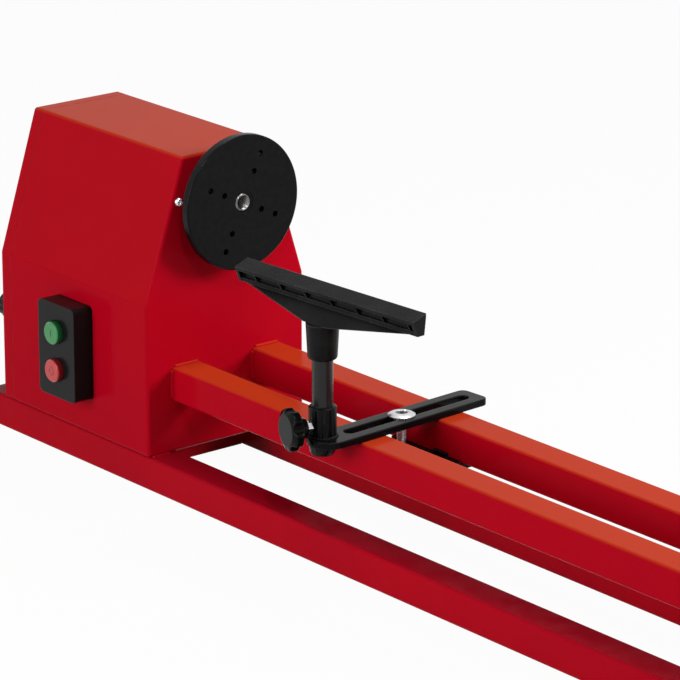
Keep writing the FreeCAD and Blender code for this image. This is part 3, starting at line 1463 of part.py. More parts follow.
wheel = new_body("handwheel", wheel_left, zero, spindle_height)
spoke_start = s.wheel_hub_length / 3
revolve(wheel, outline(new_sketch(wheel, "XY_Plane"), [
    (zero, s.quill_screw_radius), (zero, s.wheel_hub_radius),
    (s.wheel_hub_length, s.wheel_hub_radius - s.wheel_gap), (s.wheel_hub_length, s.quill_screw_radius),
]))
spoke = new_sketch(wheel, "YZ_Plane", spoke_start)
spoke_half = s.wheel_spoke_width / 2
rectangle(spoke, (-spoke_half, spoke_half),
          (s.quill_screw_radius + s.wheel_gap, s.wheel_radius - s.wheel_rim_radius))
spoke_pad = pad(wheel, spoke, s.wheel_spoke_thickness)
spokes = wheel.newObject("PartDesign::PolarPattern", "wheel_spokes")
spokes.Originals = [spoke_pad]
spokes.Axis = (spoke, ["N_Axis"])
spokes.Angle = 360
spokes.Occurrences = int(s.wheel_spoke_count.value)
wheel.Tip = spokes
doc.recompute()
rim_middle = s.wheel_radius - s.wheel_rim_radius
rim_x = spoke_start + s.wheel_spoke_thickness / 2
rim = new_sketch(wheel, "XY_Plane")
circle(rim, rim_x, rim_middle, s.wheel_rim_radius)
revolve(wheel, rim)
grip_pad = new_sketch(wheel, "YZ_Plane", rim_x)
circle(grip_pad, zero, rim_middle, s.grip_radius * 3 / 4)
pad(wheel, grip_pad, s.wheel_rim_radius + s.wheel_gap)
keep("handwheel", wheel)

grip_start = wheel_left + rim_x + s.wheel_rim_radius + s.wheel_gap
grip_height = spindle_height + rim_middle
keep("handwheel_grip_pin", rod("handwheel_grip_pin", "x", (grip_start, zero, grip_height), s.grip_pin_radius,
                               s.grip_length * 3 / 4))
keep("handwheel_grip", turned("handwheel_grip", grip_start + s.grip_gap, zero, grip_height, [
    (zero, s.grip_pin_radius + s.running_fit), (zero, s.grip_radius * 3 / 4),
    (s.grip_length * 2 / 3, s.grip_radius), (s.grip_length - s.grip_radius / 2, s.grip_radius * 7 / 8),
    (s.grip_length, s.grip_radius / 2), (s.grip_length, zero),
    (s.grip_length * 3 / 4 + s.grip_gap, zero),
    (s.grip_length * 3 / 4 + s.grip_gap, s.grip_pin_radius + s.running_fit),
]))

keep("centre_body", turned("centre_body", quill_left, zero, spindle_height, [
    (-s.centre_body_length, s.centre_point_neck + s.running_fit),
    (-s.centre_body_length, s.centre_body_radius * 3 / 4),
    (-s.centre_body_length * 3 / 4, s.centre_body_radius), (-s.centre_gap, s.centre_body_radius),
    (-s.centre_gap, s.quill_seat_radius), (s.centre_shank_length, s.quill_seat_radius - s.centre_gap),
    (s.centre_shank_length, zero), (-s.centre_body_length / 4, zero),
    (-s.centre_body_length / 4, s.centre_point_neck + s.running_fit),
]))
point_base = -s.centre_body_length - s.centre_gap
keep("centre_point", turned("centre_point", quill_left, zero, spindle_height, [
    (-s.centre_body_length / 4 - s.centre_gap, zero),
    (-s.centre_body_length / 4 - s.centre_gap, s.centre_point_neck),
    (point_base, s.centre_point_neck), (point_base, s.centre_point_radius),
    (point_base - s.centre_gap * 2, s.centre_point_radius), (point_base - s.centre_point_length, zero),
]))

lock_x = tail_x + lock_local
lock_base = spindle_height + s.barrel_radius + s.lock_boss_height
lock_stud = rod("lock_stud", "z", (lock_x, zero, spindle_height + s.quill_radius + s.knob_tip_gap),
                s.lock_screw_radius, s.barrel_radius + s.lock_boss_height - s.quill_radius)
lock_hub = rod("lock_hub", "z", (lock_x, zero, lock_base + s.clamp_hub_gap), s.lock_hub_radius,
               s.lock_hub_height)
lock_bar = doc.addObject("Part::Cylinder", "lock_bar")
bind(lock_bar, "Radius", s.lock_lever_radius)
bind(lock_bar, "Height", s.lock_lever_length)
lock_middle = lock_base + s.clamp_hub_gap + s.lock_hub_height / 2
move(lock_bar, lock_x, zero, lock_middle, TURNS["-y"])
lock_ball = doc.addObject("Part::Sphere", "lock_ball")
bind(lock_ball, "Radius", s.lock_ball_radius)
move(lock_ball, lock_x, -s.lock_lever_length, lock_middle)
keep("quill_lock_lever", fuse("quill_lock_lever", lock_stud, lock_hub, lock_bar, lock_ball))

tail_bolt_x = tail_x + half_tail - s.tail_bolt_head_radius - s.barrel_round
tail_bolt_top = tail_bottom + s.tail_base_height
bolt_head = new_body("tail_bolt_head", tail_bolt_x, zero, tail_bolt_top)
pad(bolt_head, outline(new_sketch(bolt_head, "XY_Plane"), hexagon_corners(s.tail_bolt_head_radius)),
    s.tail_bolt_head_height)
bolt_shank = rod("tail_bolt_shank", "-z", (tail_bolt_x, zero, tail_bolt_top), s.bolt_radius, s.tail_bolt_length)
keep("tailstock_bolt", fuse("tailstock_bolt", bolt_head, bolt_shank))
keep("tailstock_clamp_plate",
     clamp_plate("tailstock_clamp_plate", tail_bolt_x, s.tail_clamp_half_length, False))
keep("tailstock_clamp_lever", clamp_lever("tailstock_clamp_lever", tail_bolt_x, lever_top, 1))


# Check and write

doc.recompute()
for thing in doc.Objects:
    if any(state in ("Invalid", "Error") for state in thing.State):
        raise RuntimeError(f"{thing.Name} is {thing.State}")
for label, thing in parts.items():
    if thing.Shape.isNull() or not thing.Shape.isValid() or thing.Shape.Volume <= 0:
        raise RuntimeError(f"{label} has no valid solid")

os.makedirs("parts", exist_ok=True)
for label, thing in parts.items():
    thing.Shape.exportStep(f"parts/{label}.step")
print(len(parts), "sub-parts")
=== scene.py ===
import math

import bpy
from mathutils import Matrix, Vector


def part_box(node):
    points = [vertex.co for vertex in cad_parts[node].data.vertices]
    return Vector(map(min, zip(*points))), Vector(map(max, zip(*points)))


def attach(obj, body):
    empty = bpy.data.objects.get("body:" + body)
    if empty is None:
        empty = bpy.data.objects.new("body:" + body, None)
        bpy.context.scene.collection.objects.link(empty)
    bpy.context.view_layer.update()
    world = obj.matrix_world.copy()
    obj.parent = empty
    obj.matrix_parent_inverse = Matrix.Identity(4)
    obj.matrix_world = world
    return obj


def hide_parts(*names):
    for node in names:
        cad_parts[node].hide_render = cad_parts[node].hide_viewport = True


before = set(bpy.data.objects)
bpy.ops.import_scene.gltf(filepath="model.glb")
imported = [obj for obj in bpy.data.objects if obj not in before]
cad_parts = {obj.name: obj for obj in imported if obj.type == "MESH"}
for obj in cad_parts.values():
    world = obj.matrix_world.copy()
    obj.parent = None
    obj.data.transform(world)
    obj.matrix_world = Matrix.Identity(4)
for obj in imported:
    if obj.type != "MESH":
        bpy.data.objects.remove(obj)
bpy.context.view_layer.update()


# The photograph's view: a long lens from the operator's right, a little above the tool rest. It
# looks at a point over the bed, close to the tool rest.

look_at = Vector((-0.3197, -0.0013, 0.1576))
azimuth, elevation, distance = math.radians(50.9), math.radians(17.8), 3.434
away = Vector((math.sin(azimuth) * math.cos(elevation), -math.cos(azimuth) * math.cos(elevation),
               math.sin(elevation)))
camera = bpy.data.objects.new("camera", bpy.data.cameras.new("camera"))
bpy.context.collection.objects.link(camera)
camera.location = look_at + away * distance
camera.rotation_euler = away.to_track_quat("Z", "Y").to_euler()
camera.data.lens = 221
camera.data.sensor_width = 36
camera.data.clip_end = 60
bpy.context.scene.camera = camera


# The studio: a pale floor and an even pale surround, lit by soft boxes. To the camera and in
# reflections the surround is white, and the floor keeps the lathe's soft shadow.

white = (1, 1, 1, 1)
floor_width = 30
floor_white_share = 0.96
surround_strength = 0.13


def seen_rays(nodes, links):
    """A mask of the rays that show the studio: straight, mirrored, or through a clear piece."""
    path = nodes.new("ShaderNodeLightPath")
    mask = path.outputs["Is Camera Ray"]
    for ray in ("Is Glossy Ray", "Is Transmission Ray"):
        either = nodes.new("ShaderNodeMath")
        either.operation = "MAXIMUM"
        links.new(mask, either.inputs[0])
        links.new(path.outputs[ray], either.inputs[1])
        mask = either.outputs[0]
    return mask


bpy.context.scene.view_settings.view_transform = "Standard"

bpy.ops.object.select_all(action="DESELECT")
bpy.ops.mesh.primitive_plane_add(size=floor_width)
floor = bpy.context.object
floor.name = "floor"
floor_material = bpy.data.materials.new("pale_floor")
floor_material.use_nodes = True
nodes, links = floor_material.node_tree.nodes, floor_material.node_tree.links
shader = nodes["Principled BSDF"]
shader.inputs["Base Color"].default_value = (0.6, 0.6, 0.6, 1)
shader.inputs["Roughness"].default_value = 0.9
shader.inputs["Specular IOR Level"].default_value = 0.1
glow = nodes.new("ShaderNodeEmission")
share = nodes.new("ShaderNodeMath")
share.operation = "MULTIPLY"
share.inputs[1].default_value = floor_white_share
blend = nodes.new("ShaderNodeMixShader")
links.new(seen_rays(nodes, links), share.inputs[0])
links.new(share.outputs[0], blend.inputs[0])
links.new(shader.outputs[0], blend.inputs[1])
links.new(glow.outputs[0], blend.inputs[2])
links.new(blend.outputs[0], nodes["Material Output"].inputs["Surface"])
floor.data.materials.append(floor_material)

world = bpy.data.worlds.new("studio")
bpy.context.scene.world = world
world.use_nodes = True
nodes, links = world.node_tree.nodes, world.node_tree.links
surround = nodes["Background"]
surround.inputs["Color"].default_value = white
surround.inputs["Strength"].default_value = surround_strength
backdrop = nodes.new("ShaderNodeBackground")
backdrop.inputs["Color"].default_value = white
blend = nodes.new("ShaderNodeMixShader")
links.new(seen_rays(nodes, links), blend.inputs[0])
links.new(surround.outputs[0], blend.inputs[1])
links.new(backdrop.outputs[0], blend.inputs[2])
links.new(blend.outputs[0], nodes["World Output"].inputs["Surface"])

soft_boxes = (("key", (1.2, 1.5, 1.0), 0.9, 50), ("overhead", (-0.1, 0.4, 1.7), 0.6, 12),
              ("front_fill", (-0.5, -2.4, 0.8), 1.4, 41), ("glint", (0.9, -0.8, 1.6), 0.1, 7))
for name, place, size, power in soft_boxes:
    lamp = bpy.data.objects.new(name, bpy.data.lights.new(name, "AREA"))
    bpy.context.collection.objects.link(lamp)
    lamp.location = place
    lamp.rotation_euler = (Vector(place) - look_at).to_track_quat("Z", "Y").to_euler()
    lamp.data.size = size
    lamp.data.energy = power
    # A mirror image of the key light would burn out the glossy tops.
    lamp.visible_glossy = name != "key"


# The welded frame: square steel tubes, a folded end stand and the folded headstock, sprayed
# together in gloss red, as the tailstock is. The film is thin on bends and edges, where it is
# painted lighter as wear and as a painted highlight, and its surface has a slight peel. Its upward
# faces are painted lighter and warmer as painted light, those of the base rails and cross tubes
# darker as painted shade.

def new_skin(name, inputs):
    """A shared node group for one kind of surface. It puts out a colour, a roughness and a normal."""
    skin = bpy.data.node_groups.new(name, "ShaderNodeTree")
    for label, kind, value in inputs:
        socket = skin.interface.new_socket(label, in_out="INPUT", socket_type=kind)
        socket.default_value = value
    skin.interface.new_socket("Color", in_out="OUTPUT", socket_type="NodeSocketColor")
    skin.interface.new_socket("Roughness", in_out="OUTPUT", socket_type="NodeSocketFloat")
    skin.interface.new_socket("Normal", in_out="OUTPUT", socket_type="NodeSocketVector")
    return skin, skin.nodes.new("NodeGroupInput"), skin.nodes.new("NodeGroupOutput")


def feed(skin, value, socket):
    """Gives a socket its value: a number, a colour, or what another node puts out."""
    if isinstance(value, bpy.types.NodeSocket):
        skin.links.new(value, socket)
    else:
        socket.default_value = value


def cloud(skin, place, scale, detail=3.0):
    """Soft noise over the surface, 0 to 1. Scale is patches to the metre, or a socket."""
    noise = skin.nodes.new("ShaderNodeTexNoise")
    noise.inputs["Detail"].default_value = detail
    skin.links.new(place, noise.inputs["Vector"])
    feed(skin, scale, noise.inputs["Scale"])
    return noise.outputs["Fac"]


def sums(skin, operation, *values):
    """One step of arithmetic on values or sockets."""
    step = skin.nodes.new("ShaderNodeMath")
    step.operation = operation
    for socket, value in zip(step.inputs, values):
        feed(skin, value, socket)
    return step.outputs[0]


def spread(skin, value, low, high, out_low=0.0, out_high=1.0):
    """Stretches the part of a mask between low and high to a new range."""
    step = skin.nodes.new("ShaderNodeMapRange")
    skin.links.new(value, step.inputs["Value"])
    for label, number in (("From Min", low), ("From Max", high), ("To Min", out_low), ("To Max", out_high)):
        step.inputs[label].default_value = number
    return step.outputs["Result"]


def tint(skin, mask, first, second):
    """Goes from the first colour to the second as the mask goes from 0 to 1."""
    step = skin.nodes.new("ShaderNodeMix")
    step.data_type = "RGBA"
    # A Mix node's colours go in at sockets 6 and 7 and come out at 2, after those of its other kinds.
    skin.links.new(mask, step.inputs[0])
    feed(skin, first, step.inputs[6])
    feed(skin, second, step.inputs[7])
    return step.outputs[2]


def eased(skin, radius):
    """The normal of the surface with its edges rounded off."""
    rounded = skin.nodes.new("ShaderNodeBevel")
    rounded.samples = 4
    rounded.inputs["Radius"].default_value = radius
    return rounded.outputs[0]


def edges(skin, rounded):
    """A mask of the outer edges and corners: where a rounded normal leaves the true one."""
    true = skin.nodes.new("ShaderNodeNewGeometry")
    dot = skin.nodes.new("ShaderNodeVectorMath")
    dot.operation = "DOT_PRODUCT"
    skin.links.new(rounded, dot.inputs[0])
    skin.links.new(true.outputs["Normal"], dot.inputs[1])
    return spread(skin, dot.outputs["Value"], 0.99, 0.8)


def relief(skin, height, strength, depth, under=None):
    """Raises the surface by a mask, depth in metres, on top of the normal that lies under it."""
    step = skin.nodes.new("ShaderNodeBump")
    step.inputs["Distance"].default_value = depth
    skin.links.new(height, step.inputs["Height"])
    feed(skin, strength, step.inputs["Strength"])
    if under is not None:
        skin.links.new(under, step.inputs["Normal"])
    return step.outputs["Normal"]


def finish(name, skin, values, metallic=0.0, coat=0.0, specular=0.5, centre=(0, 0, 0)):
    """A material: the shared skin with this finish's own values, and the shader's plain sockets."""
    material = bpy.data.materials.new(name)
    material.use_nodes = True
    tree = material.node_tree
    shader = tree.nodes["Principled BSDF"]
    shader.inputs["Metallic"].default_value = metallic
    shader.inputs["Specular IOR Level"].default_value = specular
    shader.inputs["Coat Weight"].default_value = coat
    shader.inputs["Coat Roughness"].default_value = 0.08
    surface = tree.nodes.new("ShaderNodeGroup")
    surface.node_tree = skin
    for label, value in values.items():
        surface.inputs[label].default_value = value
    spot = tree.nodes.new("ShaderNodeTexCoord")
    mapping = tree.nodes.new("ShaderNodeMapping")
    mapping.vector_type = "TEXTURE"
    mapping.inputs["Location"].default_value = centre
    tree.links.new(spot.outputs["Object"], mapping.inputs["Vector"])
    tree.links.new(mapping.outputs["Vector"], surface.inputs["Place"])
    tree.links.new(surface.outputs["Color"], shader.inputs["Base Color"])
    tree.links.new(surface.outputs["Roughness"], shader.inputs["Roughness"])
    tree.links.new(surface.outputs["Normal"], shader.inputs["Normal"])
    return material


def coat_piece(piece, material):
    """Puts one material on a piece in place of any that it has."""
    piece.data.materials.clear()
    piece.data.materials.append(material)


def dress(material, *names):
    """Puts the material on CAD nodes whose shape stays as it is."""
    for name in names:
        coat_piece(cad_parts[name], material)


paint_film, given, made = new_skin("paint_film", [
    ("Place", "NodeSocketVector", (0, 0, 0)), ("Paint", "NodeSocketColor", (0.4, 0, 0, 1)),
    ("Deep", "NodeSocketColor", (0.2, 0, 0, 1)), ("Painted Top Shading", "NodeSocketColor", (0.5, 0, 0, 1)),
    ("Thin Edge And Glint", "NodeSocketColor", (0.5, 0, 0, 1)), ("Peel", "NodeSocketFloat", 0.1),
    ("Gloss", "NodeSocketFloat", 0.2)])
patch_scale, scuff_scale, wave_scale, peel_scale = 9.0, 55.0, 26.0, 420.0
film_edge_radius = 0.0014
wave_strength, wave_depth, peel_depth = 0.08, 0.002, 0.0006

# The colour is deeper in soft patches. Where the film faces up it takes the painted top shading:
# painted light on the upper red, painted shade on the base rails. On the edges the film is thin
# and lighter, as wear and as a painted highlight.
patches = cloud(paint_film, given.outputs["Place"], patch_scale)
colour = tint(paint_film, spread(paint_film, patches, 0.35, 0.75, 0, 0.55), given.outputs["Paint"],
              given.outputs["Deep"])
facing = paint_film.nodes.new("ShaderNodeTexCoord")
split = paint_film.nodes.new("ShaderNodeSeparateXYZ")
paint_film.links.new(facing.outputs["Normal"], split.inputs[0])
colour = tint(paint_film, spread(paint_film, split.outputs["Z"], 0.25, 0.95), colour, given.outputs["Painted Top Shading"])
scuffs = cloud(paint_film, given.outputs["Place"], scuff_scale, detail=6.0)
rounded = eased(paint_film, film_edge_radius)
rubbed_and_glint = sums(paint_film, "MULTIPLY", edges(paint_film, rounded),
              spread(paint_film, scuffs, 0.3, 0.7, 0.15, 0.8))
colour = tint(paint_film, rubbed_and_glint, colour, given.outputs["Thin Edge And Glint"])
paint_film.links.new(colour, made.inputs["Color"])

haze = spread(paint_film, scuffs, 0.3, 0.8, -0.04, 0.12)
paint_film.links.new(sums(paint_film, "ADD", haze, given.outputs["Gloss"]), made.inputs["Roughness"])
peel = cloud(paint_film, given.outputs["Place"], peel_scale, detail=1.0)
waves = cloud(paint_film, given.outputs["Place"], wave_scale, detail=1.0)
normal = relief(paint_film, waves, wave_strength, wave_depth, under=rounded)
paint_film.links.new(relief(paint_film, peel, given.outputs["Peel"], peel_depth, under=normal),
                     made.inputs["Normal"])

# Painted light: the tops are lighter and warmer than the sides.
red_paint = finish("red_gloss_paint", paint_film, {
    "Paint": (0.41, 0.0015, 0.010, 1), "Deep": (0.36, 0.001, 0.011, 1), "Painted Top Shading": (0.43, 0.032, 0.008, 1),
    "Thin Edge And Glint": (0.56, 0.03, 0.03, 1), "Peel": 0.05, "Gloss": 0.14}, specular=0.012)
dress(red_paint, "bed_rail_front", "bed_rail_rear", "end_stand", "headstock_casing", "belt_door",
      "tailstock_body", "tailstock_end_cap")
# The base rails and cross tubes: the same red, with their tops painted darker as painted shade under the bed.
shaded_base_paint = finish("red_base_paint_shaded_tops", paint_film, {
    "Paint": (0.41, 0.0015, 0.010, 1), "Deep": (0.34, 0.001, 0.011, 1), "Painted Top Shading": (0.3, 0.003, 0.012, 1),
    "Thin Edge And Glint": (0.5, 0.03, 0.03, 1), "Peel": 0.05, "Gloss": 0.18}, specular=0.018)
dress(shaded_base_paint, "base_rail_front", "base_rail_rear", "cross_tube_left", "cross_tube_middle",
      "cross_tube_right")


# Weld beads where the tubes meet the headstock and each other, painted over. Each is a run of
# melted drops, made as one drop repeated along the joint and then fused.

def only(*pieces):
    """Selects these pieces and no others, the first one active, for the next operator."""
    bpy.ops.object.select_all(action="DESELECT")
    for piece in pieces:
        piece.select_set(True)
    if pieces:
        bpy.context.view_layer.objects.active = pieces[0]


def settle():
    """Makes the selected piece's place, turn and size part of its mesh."""
    bpy.ops.object.transform_apply(location=True, rotation=True, scale=True)


drop_length_share, drop_step_share = 0.75, 0.7


def drops(start, end, radius):
    """A straight run of overlapping drops from start to end, as one object."""
    only()
    run = Vector(end) - Vector(start)
    bpy.ops.mesh.primitive_uv_sphere_add(segments=14, ring_count=8, radius=radius)
    bead = bpy.context.object
    bpy.ops.object.mode_set(mode="EDIT")
    bpy.ops.transform.resize(value=(drop_length_share, 1, 1))
    bpy.ops.object.mode_set(mode="OBJECT")
    row = bead.modifiers.new("row", "ARRAY")
    row.use_relative_offset = False
    row.use_constant_offset = True
    row.count = max(2, int(run.length / (drop_step_share * radius)))
    row.constant_offset_displace = (run.length / (row.count - 1), 0, 0)
    bpy.ops.object.modifier_apply(modifier=row.name)
    bead.rotation_euler = run.to_track_quat("X", "Z").to_euler()
    bead.location = start
    settle()
    return bead


def melt(piece, grain):
    """Melts a piece into one smooth skin, as fine as the grain."""
    shell = piece.modifiers.new("melt", "REMESH")
    shell.mode = "VOXEL"
    shell.voxel_size = grain
    bpy.ops.object.modifier_apply(modifier=shell.name)


def fuse_drops(runs, name, grain, material):
    """Joins the runs and melts them into one smooth bead."""
    only(*runs)
    bpy.ops.object.join()
    settle()
    bead = bpy.context.object
    melt(bead, grain)
    bpy.ops.object.shade_smooth()
    bead.name = name
    bead.data.materials.append(material)
    return bead


bead_radius, base_bead_radius = 0.0021, 0.0018
bead_grain = 0.0006
corner_gap = 0.004
base_bead_sink = 0.001
bead_stop = 0.02
foot_thickness = 0.026
column_half_width, column_inset = 0.026, 0.006

for rail in ("bed_rail_front", "bed_rail_rear"):
    low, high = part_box(rail)
    x = low.x
    runs = []
    for side in (low.y, high.y):
        runs.append(drops((x, side, low.z + corner_gap), (x, side, high.z - corner_gap), bead_radius))
    for level in (low.z, high.z):
        runs.append(drops((x, low.y + corner_gap, level), (x, high.y - corner_gap, level), bead_radius))
    bead = fuse_drops(runs, rail.replace("rail", "weld"), bead_grain, red_paint)
    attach(bead, "frame")

joints = []
for tube in ("cross_tube_left", "cross_tube_middle", "cross_tube_right"):
    low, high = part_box(tube)
    level = high.z - base_bead_sink
    for side in (low.y, high.y):
        joints.append(((low.x + corner_gap, side, level), (high.x - corner_gap, side, level)))
        for x in (low.x, high.x):
            joints.append(((x, side, low.z + corner_gap), (x, side, high.z - corner_gap)))
casing_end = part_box("headstock_casing")[1].x
stand_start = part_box("end_stand")[0].x
for rail in ("base_rail_front", "base_rail_rear"):
    low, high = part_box(rail)
    joints.append(((casing_end, low.y + corner_gap, high.z), (casing_end, low.y + bead_stop, high.z)))
    joints.append(((stand_start, low.y + corner_gap, high.z), (stand_start, high.y - corner_gap, high.z)))
for rail in ("bed_rail_front", "bed_rail_rear"):
    low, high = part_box(rail)
    joints.append(((stand_start, low.y + corner_gap, low.z), (stand_start, high.y - corner_gap, low.z)))
runs = [drops(start, end, base_bead_radius) for start, end in joints]
bead = fuse_drops(runs, "base_welds", bead_grain, shaded_base_paint)
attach(bead, "frame")

low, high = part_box("tailstock_body")
level = low.z + foot_thickness
x, y = (low.x + high.x) / 2, (low.y + high.y) / 2
column_half_depth = (high.y - low.y) / 2 - column_inset
left, right = x - column_half_width, x + column_half_width
front, back = y - column_half_depth, y + column_half_depth
runs = [drops(start, end, bead_radius) for start, end in (
    ((left, front, level), (left, back, level)), ((left, front, level), (right, front, level)),
    ((right, front, level), (right, back, level)), ((left, back, level), (right, back, level)))]
bead = fuse_drops(runs, "tailstock_weld", bead_grain, red_paint)
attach(bead, "tailstock")


# Black painted steel: the clamps' plates and levers, the hinge, the wall in the headstock and the
# motor. It is satin paint with a fine grain, rubbed a little on its edges, which are painted
# lighter as wear and as a painted highlight.

black_paint = finish("black_satin_paint", paint_film, {
    "Paint": (0.0035, 0.003, 0.0035, 1), "Deep": (0.002, 0.002, 0.0022, 1),
    "Painted Top Shading": (0.0035, 0.0032, 0.0035, 1), "Thin Edge And Glint": (0.05, 0.05, 0.052, 1), "Peel": 0.1, "Gloss": 0.15},
    specular=0.06)
dress(black_paint, "inner_wall", "motor_plate", "rest_clamp_plate", "tailstock_clamp_plate",
      "hinge_casing_leaf", "hinge_door_leaf", "motor_body", "door_tab", "rest_clamp_lever",
      "tailstock_clamp_lever", "quill_lock_lever")


# The banjo arm of the tool rest and the sleeve that holds its post. The arm is cut from plate and
# its edges are ground round, and the sleeve is a tube that is welded into the arm's nose.

def copy_of(node, name):
    """A CAD node's shape as a piece with a name of its own, selected alone."""
    piece = bpy.data.objects.new(name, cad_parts[node].data.copy())
    bpy.context.collection.objects.link(piece)
    only(piece)
    return piece


def merge_seams():
    """Joins the double corners along the piece's seams, and stays in edit mode with all selected."""
    bpy.ops.object.mode_set(mode="EDIT")
    bpy.ops.mesh.select_all(action="SELECT")
    bpy.ops.mesh.remove_doubles(threshold=0.00001)


def eased_copy(name, node, width, material, body, steps=2):
    """A CAD node's shape with its sharp edges ground or cast round. It stands for the node."""
    piece = copy_of(node, name)
    merge_seams()
    bpy.ops.mesh.dissolve_limited(angle_limit=math.radians(1))
    bpy.ops.object.mode_set(mode="OBJECT")
    if "sharp_edge" in piece.data.attributes:
        piece.data.attributes.remove(piece.data.attributes["sharp_edge"])
    ease = piece.modifiers.new("ease", "BEVEL")
    ease.width = width
    ease.segments = steps
    ease.limit_method = "ANGLE"
    ease.angle_limit = math.radians(38)
    ease.use_clamp_overlap = True
    bpy.ops.object.modifier_apply(modifier=ease.name)
    bpy.ops.object.shade_smooth()
    level = piece.modifiers.new("level", "WEIGHTED_NORMAL")
    level.weight = 90
    bpy.ops.object.modifier_apply(modifier=level.name)
    coat_piece(piece, material)
    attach(piece, body)
    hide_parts(node)


arm_edge = 0.0009
eased_copy("ground_arm", "rest_arm", arm_edge, black_paint, "rest_arm")
polished_black = finish("polished_black_steel", paint_film, {
    "Paint": (0.008, 0.0075, 0.0075, 1), "Deep": (0.005, 0.005, 0.005, 1), "Painted Top Shading": (0.008, 0.008, 0.0085, 1),
    "Thin Edge And Glint": (0.05, 0.05, 0.052, 1), "Peel": 0.1, "Gloss": 0.24}, specular=0.3)
dress(polished_black, "rest_post")

low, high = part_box("post_sleeve")
arm_low, arm_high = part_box("rest_arm")
middle = (low + high) / 2
sleeve_radius = (high.x - low.x) / 2
chamfer_share, end_share, wall_share = 0.885, 0.965, 0.81
rim_height, chamfer_height, overrun = 0.0004, 0.003, 0.001
rim_top, chamfer_top, below_end = low.z + rim_height, low.z + chamfer_height, low.z - overrun
drop_count, drop_radius, drop_lean, sleeve_grain = 30, 0.0017, 0.5, 0.0004

# Below the arm the sleeve's wall draws in to its chamfer, and its rim follows a little less.
sleeve = copy_of("post_sleeve", "tapered_sleeve")
merge_seams()
bpy.ops.mesh.bisect(plane_co=(middle.x, middle.y, arm_low.z - overrun), plane_no=(0, 0, 1))
bpy.ops.mesh.select_mode(type="VERT")
for bottom, top, share in ((rim_top, chamfer_top, chamfer_share), (below_end, rim_top, end_share)):
    bpy.ops.mesh.select_all(action="DESELECT")
    bpy.ops.object.mode_set(mode="OBJECT")
    for corner in sleeve.data.vertices:
        off_axis = Vector((corner.co.x - middle.x, corner.co.y - middle.y)).length
        corner.select = bottom < corner.co.z < top and off_axis > sleeve_radius * wall_share
    bpy.ops.object.mode_set(mode="EDIT")
    bpy.ops.transform.resize(value=(share, share, 1), center_override=tuple(middle))
bpy.ops.object.mode_set(mode="OBJECT")
bpy.ops.object.shade_smooth_by_angle(angle=math.radians(30))
coat_piece(sleeve, black_paint)
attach(sleeve, "rest_arm")
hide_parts("post_sleeve")

ring = []
for level in (arm_high.z, arm_low.z):
    for number in range(drop_count):
        turn = math.tau * number / drop_count
        place = (middle.x + sleeve_radius * math.cos(turn), middle.y + sleeve_radius * math.sin(turn), level)
        only()
        bpy.ops.mesh.primitive_uv_sphere_add(segments=12, ring_count=8, radius=drop_radius, location=place,
                                             rotation=(0, drop_lean, turn))
        ring.append(bpy.context.object)
bead = fuse_drops(ring, "sleeve_weld", sleeve_grain, black_paint)
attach(bead, "rest_arm")


# Black cast iron: the tool rest, the handwheel, the bearing housings and the motor's end shields.
# The skin keeps the sand's grain under thin black paint. Its edges are rubbed and painted lighter,
# as wear and as a painted highlight, and its hollows are painted darker as painted shade.

def hollows(skin, reach):
    """A mask of the inner corners and recesses, for painted shade: 1 in the open, lower where neighbours
    close in.
    """
    near = skin.nodes.new("ShaderNodeAmbientOcclusion")
    near.samples = 6
    near.inputs["Distance"].default_value = reach
    return near.outputs["AO"]


cast_skin, given, made = new_skin("cast_skin", [
    ("Place", "NodeSocketVector", (0, 0, 0)), ("Skin", "NodeSocketColor", (0.02, 0.02, 0.02, 1)),
    ("Worn And Glint", "NodeSocketColor", (0.1, 0.1, 0.1, 1)), ("Grain", "NodeSocketFloat", 500.0),
    ("Depth", "NodeSocketFloat", 0.3), ("Gloss", "NodeSocketFloat", 0.4)])
blotch_scale = 40.0
cast_edge_radius, hollow_reach, grain_depth = 0.0011, 0.012, 0.0008
painted_recess_shade = (0.001, 0.001, 0.001, 1)

grain = cloud(cast_skin, given.outputs["Place"], given.outputs["Grain"], detail=4.0)
blotches = cloud(cast_skin, given.outputs["Place"], blotch_scale, detail=4.0)
rounded = eased(cast_skin, cast_edge_radius)
worn_and_glint = sums(cast_skin, "MULTIPLY", edges(cast_skin, rounded), spread(cast_skin, blotches, 0.15, 0.5))
faded = spread(cast_skin, blotches, 0.4, 0.9, 0, 0.12)
lighter = sums(cast_skin, "ADD", sums(cast_skin, "MULTIPLY", worn_and_glint, 0.8), faded)
colour = tint(cast_skin, lighter, given.outputs["Skin"], given.outputs["Worn And Glint"])
# Painted shade: inner corners and recesses go to near black.
clear_of_painted_shade = spread(cast_skin, hollows(cast_skin, hollow_reach), 0.35, 0.9)
cast_skin.links.new(tint(cast_skin, clear_of_painted_shade, painted_recess_shade, colour), made.inputs["Color"])
speckle = spread(cast_skin, grain, 0.2, 0.8, -0.08, 0.1)
cast_skin.links.new(sums(cast_skin, "ADD", speckle, given.outputs["Gloss"]), made.inputs["Roughness"])
cast_skin.links.new(relief(cast_skin, grain, given.outputs["Depth"], grain_depth, under=rounded),
                    made.inputs["Normal"])

cast_black = finish("black_cast_iron", cast_skin, {
    "Skin": (0.0045, 0.004, 0.0042, 1), "Worn And Glint": (0.09, 0.09, 0.092, 1), "Grain": 650.0, "Depth": 0.25,
    "Gloss": 0.28}, specular=0.07)
dress(cast_black, "front_bearing_housing", "rear_bearing_housing", "motor_end_shields")
rest_edge, wheel_edge = 0.0008, 0.0006
eased_copy("cast_rest", "tool_rest", rest_edge, cast_black, "tool_rest")
eased_copy("cast_handwheel", "handwheel", wheel_edge, cast_black, "handwheel")


